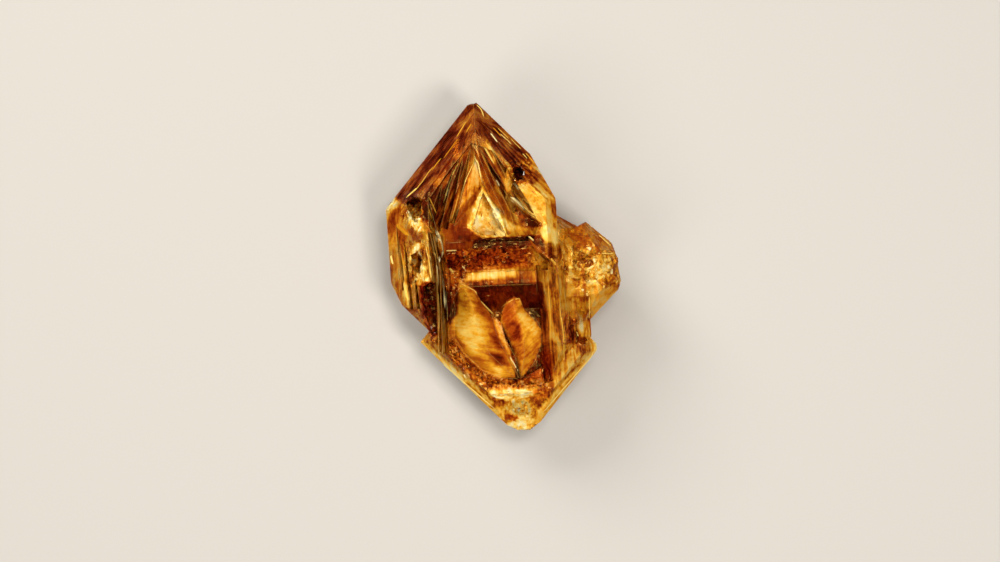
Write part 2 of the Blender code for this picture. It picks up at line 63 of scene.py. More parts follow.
MM = 0.001
NODE = "citrine_crystal"
BODY = "root"
LOW, HIGH = (Vector(corner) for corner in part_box(NODE))
# How far the crystal reaches to the left and downwards from the zero of its layout, in mm.
REACH_LEFT = 19.82
REACH_DOWN = 29.73
LAYOUT_ZERO = Vector((LOW.x + REACH_LEFT * MM, LOW.y + REACH_DOWN * MM, LOW.z))


def at(x, y, z=0.0):
    """A place of the layout, in the scene's metres."""
    return LAYOUT_ZERO + Vector((x, y, z)) * MM


# ---- What the crystal's surface is like, area by area ----

LEFT_PLATE = (
    (-7.5, -1.6), (-4.9, -3.8), (-3.7, -6.2), (-1.3, -9.8), (0.4, -14.1), (1.5, -17.8), (1.4, -20.1),
    (-1.4, -19.9), (-4.9, -18.1), (-7.9, -14.6), (-9.8, -11.6), (-10.1, -9.8), (-8.2, -5.9),
)
RIGHT_PLATE = (
    (0.8, -6.2), (2.1, -5.4), (3.2, -6), (3.8, -8), (5.4, -9.9), (6.6, -11.7), (6.4, -14.5),
    (4.7, -17.8), (2.3, -20.3), (1.9, -17.3), (0.8, -13.2), (-0.6, -9.9), (-0.2, -8.1),
)

# Each area: how far it fades across its outline, in mm, its finish, and the outline's (x, y) on the front.
# A later area lies over the ones before it, and leaves what it doesn't name. The finish:
# stain, the iron in the quartz, from 0, clear, to 1, dark, which in the slot, the window's recess, the
# groove round the plates' foot and along the left plate's edge is also painted shade;
# frost, how rough its surface is, and relief, how broken it is, in mm;
# cover, how much of it lies under a film of iron ochre or splintered quartz, a film that in places is a
# painted highlight and in others painted shade;
# tone, that film's colour, from 0, white, to 1, nearly black;
# mottle, how uneven that colour is, and rust, how red.
AREAS = (
    # The left and right termination faces, and the warmer quartz at their tip.
    (1.2, dict(stain=0.8, frost=0.12, cover=0.84, tone=0.87, mottle=0.65, rust=0.05),
     (-2.4, 29.8), (-3.2, 23.4), (-8.3, 18.9), (-13.2, 13.6), (-15.4, 13), (-18.9, 12.8), (-3.6, 30.5)),
    (1.2, dict(stain=0.68, frost=0.15, cover=0.8, tone=0.79, mottle=0.8, rust=0.1),
     (-2.6, 30.2), (-2.6, 23.4), (0.4, 21.4), (3.6, 16.9), (6.5, 11.6), (11.4, 13.6), (12.8, 18)),
    (1.6, dict(stain=0.45, tone=0.6), (0.6, 28.4), (13.2, 14.4), (10.9, 13.8), (6.9, 18.8), (1.2, 25.2)),
    (1.4, dict(stain=0.5, cover=0.76, tone=0.67, mottle=0.7),
     (-3.6, 29.6), (-0.6, 28.8), (1.4, 26.6), (0.4, 24), (-2.9, 23.2), (-5.4, 23.8), (-6.4, 25.4)),
    # The left bank and its shoulder.
    (1, dict(stain=0.3, frost=0.1, cover=0.52, tone=0.42, relief=0.04, mottle=0.6),
     (-19.9, 12), (-16, 13), (-15.4, 4.4), (-16.2, -3.2), (-14.6, -11.8), (-16.6, -10), (-19.9, 2)),
    # The right field, its margin, and the bright hook that ends in a foot.
    (1, dict(stain=0.15, frost=0.15, cover=0.8, tone=0.4, relief=0.08, mottle=0.6),
     (3.6, 13.4), (7.6, 15.6), (10.6, 14), (11.2, 6), (8.4, 5), (6.2, 6.6)),
    (0.8, dict(stain=0.7, cover=0.9, tone=0.74, rust=0.2),
     (4.4, 20.2), (6.6, 18.2), (8, 14.8), (6.2, 13.6), (5.4, 16.4)),
    (0.6, dict(stain=0.2, cover=0.7, tone=0.38),
     (6, 18.9), (7, 18.9), (10.9, 13.4), (9.9, 12.9), (8.2, 16)),
    # The fluted wall of the upper hollow: darkest at its left, orange towards the blade.
    (0.5, dict(stain=0.92, frost=0.15, cover=0.86, tone=0.67, relief=0.04, rust=0.35, mottle=0.8),
     (-3.6, 22.4), (-8.3, 18.7), (-11.9, 14.6), (-12.9, 12.7), (-12.5, 8.4), (-11, 7.9), (-9.1, 8.4),
     (-7.2, 10.9), (-5.2, 17.6)),
    (0.8, dict(stain=1, cover=0.7, tone=0.82, rust=0.45),
     (-12.8, 13.6), (-12.3, 8.6), (-9.4, 9), (-9.4, 12.5), (-9.9, 15.4), (-11.7, 15.2)),
    (0.5, dict(stain=0.65, cover=0.7, tone=0.58, rust=0.2),
     (-5.2, 17.6), (-7.2, 10.9), (-7.8, 8.5), (-4.8, 8), (-3.2, 12), (-2.9, 17)),
    (0.8, dict(stain=0.85, cover=0.85, tone=0.84),
     (-6.4, 22.8), (-4.6, 23.6), (-3.5, 22.6), (-4, 21), (-6.4, 20.4)),
    # The bright blade, the golden band, and the orange and red strips beside it.
    (0.4, dict(stain=0.6, cover=0.8, tone=0.64, mottle=0.7, rust=0.4),
     (-3.6, 13.4), (-6.4, 10.2), (-8, 7.8), (-4.4, 6.8), (-3, 11.4), (-2.6, 14)),
    (0.3, dict(stain=0.12, frost=0.25, cover=0.95, tone=0.36, mottle=0.8, rust=0.3),
     (-2.9, 19.2), (-2.1, 15.2), (-3.8, 13.3), (-6.8, 10.5), (-9.2, 8.3), (-7.3, 11.4), (-5.2, 14.6)),
    (0.3, dict(stain=0.58, frost=0.2, cover=0.76, tone=0.7, mottle=0.7),
     (-3.5, 22.2), (-2.6, 22), (-1.3, 18.5), (0.7, 13.4), (2.4, 10.1), (3, 6.4), (1.9, 5.6), (0.9, 9.7),
     (-0.9, 12.3), (-2.2, 16.1)),
    (0.3, dict(stain=0.3, cover=0.75, tone=0.4), (-1.4, 22.9), (-0.6, 22.7), (0.7, 19), (0, 18.6)),
    (0.4, dict(stain=0.92, frost=0.2, cover=0.75, tone=0.8, rust=0.4),
     (-1.9, 21.4), (-1, 20.6), (0.8, 17), (2.6, 13), (1.4, 12.6), (-0.6, 17.4)),
    (0.4, dict(stain=0.88, cover=0.92, tone=0.86, rust=0.3),
     (3, 17.9), (5, 18.2), (6.2, 16.6), (5.6, 14.4), (4, 14.2)),
    (0.5, dict(stain=0.02, frost=0.15, cover=0.92, tone=0.46, mottle=0.75),
     (5.4, 13.4), (7.3, 13.9), (10.4, 13.2), (10.8, 9.2), (10.4, 5.1), (7.5, 4.3), (8.6, 7.3), (8.3, 10.6)),
    (0.4, dict(stain=0, cover=0.96, tone=0.26, mottle=0.35),
     (7.6, 4.9), (8.6, 6.8), (10.4, 6), (12.2, 3.8), (10.8, 3.2), (8.2, 4)),
    (0.4, dict(stain=0.88, frost=0.1, cover=0.8, tone=0.82, rust=0.4, relief=0.15),
     (3, 10.6), (4.4, 9.7), (7.8, 7.2), (7.6, 6.5), (5, 6.9), (3.9, 8.6)),
    # The spear, and the bright bay below it, whose pale film is partly a painted glow.
    (0.3, dict(stain=0.2, cover=0.95, tone=0.42, mottle=0.4),
     (2.7, 17.9), (3.3, 15.6), (2.9, 13.6), (2.1, 12.9), (1.8, 14.8), (2.1, 16.6)),
    (0.5, dict(stain=0, frost=0.3, cover=0.98, tone=0.25, relief=0.18, mottle=0.7, rust=0),
     (-2.1, 14.5), (-3.7, 11.6), (-5.3, 7.2), (-3.8, 5.4), (1.8, 5), (1.4, 8.4), (0.1, 9.9)),
    # Painted highlight: the bay's whitest core, which stands in for its glow.
    (1.4, dict(cover=1, tone=0.12, mottle=0.4),
     (-1.2, 6.4), (-1, 9), (-0.4, 10.6), (0.6, 8.8), (1.9, 5), (-0.8, 5.2)),
    (0.5, dict(stain=0.2, frost=0.2, cover=0.85, tone=0.38, mottle=0.7),
     (0.9, 9), (2.8, 7.4), (5.8, 6.4), (6.6, 5.2), (1.8, 5)),
    # The smooth brown lens, the dark slot and the grainy step below them; the slot's darkness is iron stain
    # and painted shade.
    (0.4, dict(stain=0.76, frost=0.05, cover=0.88, tone=0.72, relief=0.04, mottle=0.4, rust=0.4),
     (-11, 7.9), (-9.1, 8.7), (-5.2, 7.4), (-2.7, 5.3), (-3.2, 4.6), (-5.6, 3.2), (-10.3, 2.8)),
    # Painted shade with iron stain: the slot, nearly black.
    (0.5, dict(stain=1, frost=0.2, cover=0.92, tone=0.98, relief=0.1, mottle=0.5, rust=0.5),
     (-4.4, 5.3), (7.6, 5.1), (7.8, 3.2), (-4.4, 3.3)),
    (0.5, dict(stain=0.78, frost=0.45, cover=0.92, tone=0.75, relief=0.3, mottle=0.6, rust=0.7),
     (-9.9, 3.4), (-3.5, 3.6), (6.2, 3.4), (9.1, 0.9), (6.5, -0.2), (-9.9, -0.5)),
    (0.9, dict(stain=0.85, tone=0.76, rust=0.9), (-4.6, 3.2), (0.4, 3.4), (0.8, 1), (-4.2, 0.6)),
    (0.9, dict(stain=0.4, tone=0.5, relief=0.1, rust=0.1),
     (5.4, 3.4), (9.4, 1.2), (8.8, -0.2), (5.2, -0.1)),
    # The floor and walls of the window: iron stain, with painted shade in its recess and round the plates'
    # foot.
    (0.4, dict(stain=0.95, frost=0.2, cover=0.55, tone=0.84, relief=0.08, rust=0.7),
     (-9.4, -2.9), (1, -3.1), (7.4, -3.5), (7.7, -9), (7.6, -15.6), (7.2, -19.4), (3, -21.1), (-1.4, -20.8),
     (-4.8, -19), (-8.2, -15.4), (-9.9, -12), (-9.9, -6)),
    # The bright ledge, olive at its right and orange along its foot, with a painted highlight in its pale
    # strip.
    (0.5, dict(stain=0.12, frost=0.25, cover=0.85, tone=0.46, relief=0.05, mottle=0.8),
     (-7.6, 0), (-2, 0.3), (6.4, 0.1), (9.2, -0.4), (9, -1.8), (7.6, -2.9), (-6.2, -2.6)),
    # Painted highlight: the ledge's palest strip, which stands in for its glow.
    (0.7, dict(stain=0, cover=0.95, tone=0.14, mottle=0.5),
     (-6.8, -0.9), (-1, -0.4), (3, -0.6), (2.6, -1.8), (-6.4, -2.1)),
    (0.6, dict(stain=0.6, cover=0.8, tone=0.62, rust=0.5),
     (-5.6, -2.2), (6.8, -2.1), (7.2, -3.2), (-4.8, -3.2)),
    (1.6, dict(tone=0.56, mottle=0.6),
     (3, 0.3), (6.4, 0.2), (9.2, -0.3), (9, -2), (7.4, -2.9), (3.6, -2.6)),
    (0.7, dict(stain=0.85, frost=0.3, cover=0.8, tone=0.76, relief=0.25, rust=0.7),
     (-10.2, 0.2), (-6.6, 0.4), (-6.2, -1.2), (-6.6, -3.2), (-8.2, -3.6), (-10.2, -3)),
    # Painted shade with iron stain: the recess above the plates, nearly black.
    (0.5, dict(stain=1, frost=0.2, cover=0.62, tone=0.91, rust=0.8, mottle=0.6),
     (-5.6, -3), (7.4, -3.3), (7.8, -9.4), (7.2, -12), (4.4, -6.8), (-1, -6.4), (-3.4, -5.6)),
    # Painted shade with iron stain: the dark groove round the plates' foot, in this area and the next.
    (0.4, dict(stain=0.55, frost=0.5, cover=0.8, tone=0.58, relief=0.28, rust=0.5),
     (-10.6, -12.2), (-9.4, -12.6), (-6.6, -17.2), (-2.6, -20.2), (2.2, -20.4), (6.4, -19.2), (8.2, -20.2),
     (6.6, -21.7), (-2.6, -22), (-6, -20.4), (-9.6, -16.2)),
    (0.4, dict(stain=0.92, frost=0.4, cover=0.75, tone=0.8, relief=0.12, rust=0.9),
     (5, -16.2), (6.6, -15.4), (8.1, -15.2), (8.2, -20), (6.8, -20.9), (2.6, -20), (4.2, -18.4)),
    # The two plates, with the seam and the pale wedge between them; the left plate has painted light on its
    # lit left part and painted shade along its right edge and foot.
    (0.25, dict(stain=0.16, frost=0.6, cover=0.95, tone=0.46, relief=0.03, mottle=0.4, rust=0),
     *LEFT_PLATE),
    (0.25, dict(stain=0.2, frost=0.6, cover=0.95, tone=0.52, relief=0.03, mottle=0.45, rust=0.15),
     *RIGHT_PLATE),
    (0.9, dict(tone=0.6, stain=0.4, rust=0.5),
     (0.6, -6.6), (2.4, -6.4), (3, -9.4), (3, -12.4), (1.7, -14.2), (0.3, -10.7), (-0.4, -8.6)),
    # Painted light: the left plate's lit left part, paler.
    (2.6, dict(tone=0.31),
     (-8.8, -9.8), (-6.2, -5.8), (-4.6, -7.6), (-3.9, -12), (-5.4, -15.6), (-8.2, -13.4)),
    (1.4, dict(tone=0.28), (-4.8, -16.4), (-2.6, -17.2), (-0.6, -18.8), (-1.6, -19.8), (-4.8, -18.2)),
    (1.6, dict(tone=0.33, rust=0),
     (2.4, -8.2), (3.6, -8.6), (5.4, -10.6), (5.8, -12.8), (4.4, -15.4), (3, -13.6)),
    # Painted shade: this area and the three after it darken the left plate along its right edge, by the gap
    # between the plates, and along its foot.
    (1.4, dict(tone=0.66, rust=0.3),
     (-5.4, -3.4), (-3.7, -6.2), (-1.3, -9.8), (0.5, -14.1), (0, -16), (-1.4, -13.4), (-2.9, -10),
     (-4.6, -6.6)),
    (1, dict(tone=0.84, stain=0.6, rust=0.4), (-2.9, -11.6), (-1.6, -12.2), (-0.4, -14.4), (-1.6, -14.4)),
    (1, dict(tone=0.52),
     (-9.8, -11.6), (-9, -11.4), (-4, -16.8), (-1.2, -19.4), (-4.9, -18.3), (-7.9, -14.9)),
    (1.2, dict(tone=0.76, stain=0.6, rust=0.3), (-3.2, -15), (-0.4, -16), (0.4, -17.8), (-1.9, -17.4)),
    (0.8, dict(tone=0.72, rust=0.6), (1.6, -9.8), (3, -10.8), (2.8, -13.4), (1.6, -12.6)),
    (0.25, dict(tone=0.3, cover=0.85, stain=0.1),
     (-1.8, -8.8), (-0.5, -10), (0, -12.4), (0.9, -15.4), (0.2, -15.2), (-1.2, -12)),
    # The columns at the window's left, and the dark pocket beyond them.
    (0.4, dict(stain=0.4, frost=0.15, cover=0.62, tone=0.47),
     (-12.7, 7.8), (-9.8, 8), (-9.3, 0.5), (-9.2, -6), (-9.9, -14.9), (-12.4, -14.6), (-12.4, -5)),
    (0.5, dict(stain=1, cover=0.7, tone=0.96),
     (-10.4, -3.6), (-8, -3.2), (-7.8, -5.4), (-8.4, -7.8), (-9.6, -9.6), (-10.6, -8)),
    (0.4, dict(stain=0.95, frost=0.1, cover=0.8, tone=0.82, relief=0.15, rust=0.9, mottle=0.8),
     (-14.3, -2), (-12.2, -1.4), (-11.6, -6), (-11.8, -11.4), (-13.2, -11.6), (-14.4, -8.2)),
    (0.5, dict(stain=1, cover=0.95, tone=0.92, relief=0.25, mottle=0.6, rust=1),
     (-14.5, -2.4), (-12.2, -2.2), (-12.3, -6.4), (-13.2, -8.6), (-14.2, -6.2)),
    # Yellow flakes, a bright stripe, painted glints and an orange foot on the left bank.
    (0.4, dict(stain=0, cover=0.8, tone=0.2),
     (-18.1, 3.8), (-17.2, 3.6), (-16.6, -5.4), (-15.6, -9.4), (-16.4, -9), (-17.6, -3)),
    (0.25, dict(stain=0, frost=0.3, cover=0.95, tone=0.24, relief=0.12, mottle=0.7),
     (-15.9, 2.4), (-15, 0.6), (-14.7, 2.3), (-13.4, 5.1), (-14.2, 5.8), (-15.7, 4)),
    (0.25, dict(stain=0, frost=0.3, cover=0.92, tone=0.28, relief=0.12, mottle=0.7),
     (-15, -2.2), (-12.6, -1.5), (-13.1, 0.6), (-13.7, 1.6), (-14.9, -0.1)),
    # Painted glints: the white chips round the pit on the left bank.
    (0.4, dict(stain=0.1, cover=0.95, tone=0.14, relief=0.3, mottle=0.8),
     (-15.9, 11.2), (-15, 10), (-13.2, 9.6), (-12.9, 7.4), (-14, 7.2), (-15.6, 8.8)),
    (0.6, dict(stain=0.3, cover=0.55, tone=0.52),
     (-17.2, -6.2), (-14.9, -6), (-13.4, -11.6), (-12.4, -13), (-13.4, -13.8), (-16.2, -10.2)),
    (1.4, dict(stain=0.45, cover=0.85, tone=0.58, rust=0.15),
     (-19.9, 11.4), (-16.2, 12.4), (-16.4, 7.4), (-17.2, 4.6), (-19.9, 4.4)),
    (0.8, dict(stain=0.1, frost=0.5, cover=0.75, tone=0.2, relief=0.25),
     (-19.9, 12.6), (-18.2, 13.8), (-17.4, 13.2), (-17.8, 11.8), (-19.7, 11.2)),
    (0.4, dict(stain=0.85, frost=0.3, cover=0.6, tone=0.88),
     (-16.3, 14.6), (-13.6, 15.2), (-13.2, 12.6), (-14.4, 12.1), (-16.4, 12.4)),
    (0.3, dict(stain=0.2, cover=0.95, tone=0.36), (-14.9, 12), (-12.9, 12.1), (-12.9, 9.9), (-14.7, 10)),
    (0.8, dict(relief=0.3), (-16.6, 14.4), (-13, 14.4), (-12.6, 9.2), (-17.2, 9.4)),
    (0.8, dict(relief=0.3), (-17, 5.6), (-12.6, 5.6), (-12.4, -2.6), (-16.6, -2.6)),
    (0.8, dict(relief=0.3), (2.2, 18.8), (6.8, 18.8), (7.2, 14), (2.6, 14)),
    (0.4, dict(stain=0.8, cover=0.7, tone=0.88), (-15, 6.2), (-13.4, 7.1), (-12.9, 6), (-14.4, 5)),
    (0.5, dict(stain=0.1, cover=0.6, tone=0.3),
     (-15.4, -12.8), (-12.8, -12.3), (-12.2, -14.2), (-13.9, -14.8)),
    # The raised rims of the lower crystal, with pale bands along their edges that are partly painted
    # highlight, and its pale tip.
    (0.4, dict(stain=0.2, frost=0.15, cover=0.85, tone=0.43),
     (-14.6, -13.6), (-12.2, -14.8), (-3.6, -22.6), (-0.6, -26.2), (-2, -28.6), (-11.2, -20.2),
     (-16.6, -14.2)),
    # Partly painted highlight: the pale band along the lower-left rim, and its brightest strip in the next
    # area.
    (0.4, dict(stain=0, cover=0.95, tone=0.26, mottle=0.7),
     (-15.2, -11.8), (-13, -14.2), (-9.2, -17.9), (-3.7, -23.3), (-0.6, -26.2), (-2.4, -28.6),
     (-5.6, -25.6), (-11.2, -20), (-16.6, -14.6), (-16.8, -12.8)),
    (0.6, dict(cover=0.95, tone=0.12, mottle=0.5),
     (-12.8, -15.5), (-11.3, -16.4), (-8.2, -19.4), (-9.2, -19.6), (-13.2, -16.4)),
    (0.6, dict(stain=0.36, frost=0.1, cover=0.7, tone=0.5),
     (10.2, -15.2), (15.8, -13.4), (15.9, -15.4), (8.2, -25.4), (6.8, -22.4)),
    # Partly painted highlight: the pale band along the lower-right rim's edge.
    (0.3, dict(stain=0, cover=0.95, tone=0.26, mottle=0.6),
     (11.9, -19.4), (12.9, -19.6), (6, -26.4), (4.4, -28.8), (4.6, -26.6), (8.6, -22.4)),
    (0.5, dict(stain=0.1, cover=0.85, tone=0.36, mottle=0.5),
     (16.7, -14.6), (16.9, -16.4), (12.6, -21.4), (8, -25.8), (4.6, -30.2), (3, -28.8), (6.2, -25.6),
     (10.8, -21.2), (15.3, -16.4)),
    (0.4, dict(stain=0, cover=0.9, tone=0.2), (15, -13.2), (16.8, -14), (16.9, -16.4), (15.6, -16.6)),
    (0.5, dict(stain=0.05, frost=0.3, cover=0.85, tone=0.52, relief=0.22, mottle=0.7),
     (-4.4, -21.9), (7.9, -22), (5.4, -25.2), (3.6, -28.9), (1.6, -30.4), (-1.4, -29), (-0.6, -26.6)),
    (0.5, dict(cover=0.95, tone=0.16, mottle=0.6),
     (-3.6, -21.9), (0.6, -21.7), (4.2, -22.4), (4.4, -23.6), (0.2, -23.9), (-2.6, -23.2)),
    (0.3, dict(cover=0.9, tone=0.5, rust=0.5, mottle=0.5),
     (4.2, -22.2), (7.3, -22.1), (6.8, -23.9), (4.6, -24.4)),
    (0.6, dict(stain=0, frost=0.4, cover=0.45, tone=0.16, relief=0.28, mottle=0.8),
     (0.4, -24.1), (3.6, -23.9), (4, -26.2), (2.4, -27), (0.8, -26.2)),
    (0.5, dict(cover=0.9, tone=0.16, mottle=0.6),
     (-0.6, -27.6), (2.4, -26.9), (4.2, -27.6), (3.4, -29.2), (1.4, -30.2), (-0.4, -28.9)),
    (0.2, dict(stain=0.6, cover=0.95, tone=0.66, rust=0.7, mottle=0.3),
     (-1.3, -27), (0, -26.5), (1.4, -27.2), (0.9, -27.8), (-0.5, -27.7)),
    # The window's right wall, the column and the side crystal.
    (0.4, dict(stain=0.32, frost=0.15, cover=0.62, tone=0.51, mottle=0.9),
     (7.7, 1.4), (9.6, 0.2), (10.6, -2.2), (10.6, -12), (9.8, -19.4), (7.9, -20.4), (8, -3)),
    (0.6, dict(stain=0.2, frost=0.2, cover=0.65, tone=0.49, mottle=0.8),
     (10.2, 0.4), (14.2, -3.6), (14.8, -8.4), (10.6, -8.6)),
    (0.7, dict(stain=0.35, frost=0.4, cover=0.6, tone=0.54, relief=0.22),
     (10.2, 3.2), (13.6, 3), (14.8, -0.6), (14.2, -3.6), (10.4, -1.2)),
    (1, dict(stain=0.6, frost=0.2, cover=0.7, tone=0.62, relief=0.15, rust=0.3),
     (10.4, -8.6), (12.1, -9.1), (13.4, -11), (12.9, -14.6), (12.2, -15.4), (10.9, -15.4)),
    (0.4, dict(stain=0.2, cover=0.8, tone=0.4), (13.3, -11), (15.6, -10.7), (15.6, -13.3), (13.2, -14)),
    (0.4, dict(stain=0.35, frost=0.1, cover=0.6, tone=0.48, relief=0.1, mottle=0.45, rust=0.2),
     (10.6, 9.4), (15.2, 6.8), (13.4, 2.6), (10.6, 3)),
    (0.5, dict(stain=0.4, frost=0.15, cover=0.64, tone=0.51, relief=0.12, mottle=0.5, rust=0.2),
     (13.4, 7.1), (16.2, 6.9), (20.8, 3.8), (20.6, 1.2), (15.6, 1.4), (13.4, 3.2)),
    (0.8, dict(stain=0.2, frost=0.35, cover=0.8, tone=0.52, relief=0.3, mottle=0.45),
     (10.8, 1), (13, 1.8), (20.4, 1.2), (21.7, -0.6), (20.6, -4.9), (15.6, -5.4), (12.6, -4.2)),
    (0.7, dict(cover=0.92, tone=0.34),
     (16.2, 1), (20.2, 0.7), (19.6, -1.6), (18.7, -3.1), (17.4, -3.6), (16.9, -4.8), (15.6, -3.9),
     (16.2, -1.2)),
    (0.5, dict(stain=0.6, cover=0.65, tone=0.66),
     (14.4, 1.8), (16.2, 0.7), (16.7, -0.7), (15.2, -1.5), (14.2, 0.2)),
    (0.5, dict(stain=0.26, frost=0.1, cover=0.74, tone=0.4, mottle=0.45),
     (15.6, -5.2), (20.9, -4.8), (20.4, -6.4), (15.6, -11.2)),
    (0.5, dict(stain=0.3, cover=0.6, tone=0.46), (19.8, 0.6), (21.4, 0.4), (21.8, -4.2), (20.3, -4.6)),
)
CLEAR_QUARTZ = dict(stain=0.3, frost=0.05, cover=0.5, tone=0.5, relief=0, mottle=1, rust=0.1)
SLICE = 0.5  # the areas are drawn on the mesh at this spacing, in mm

# ---- Slivers: the crisp pale lines of growth edges, splinters and slender columns, the whitest of them painted glints ----

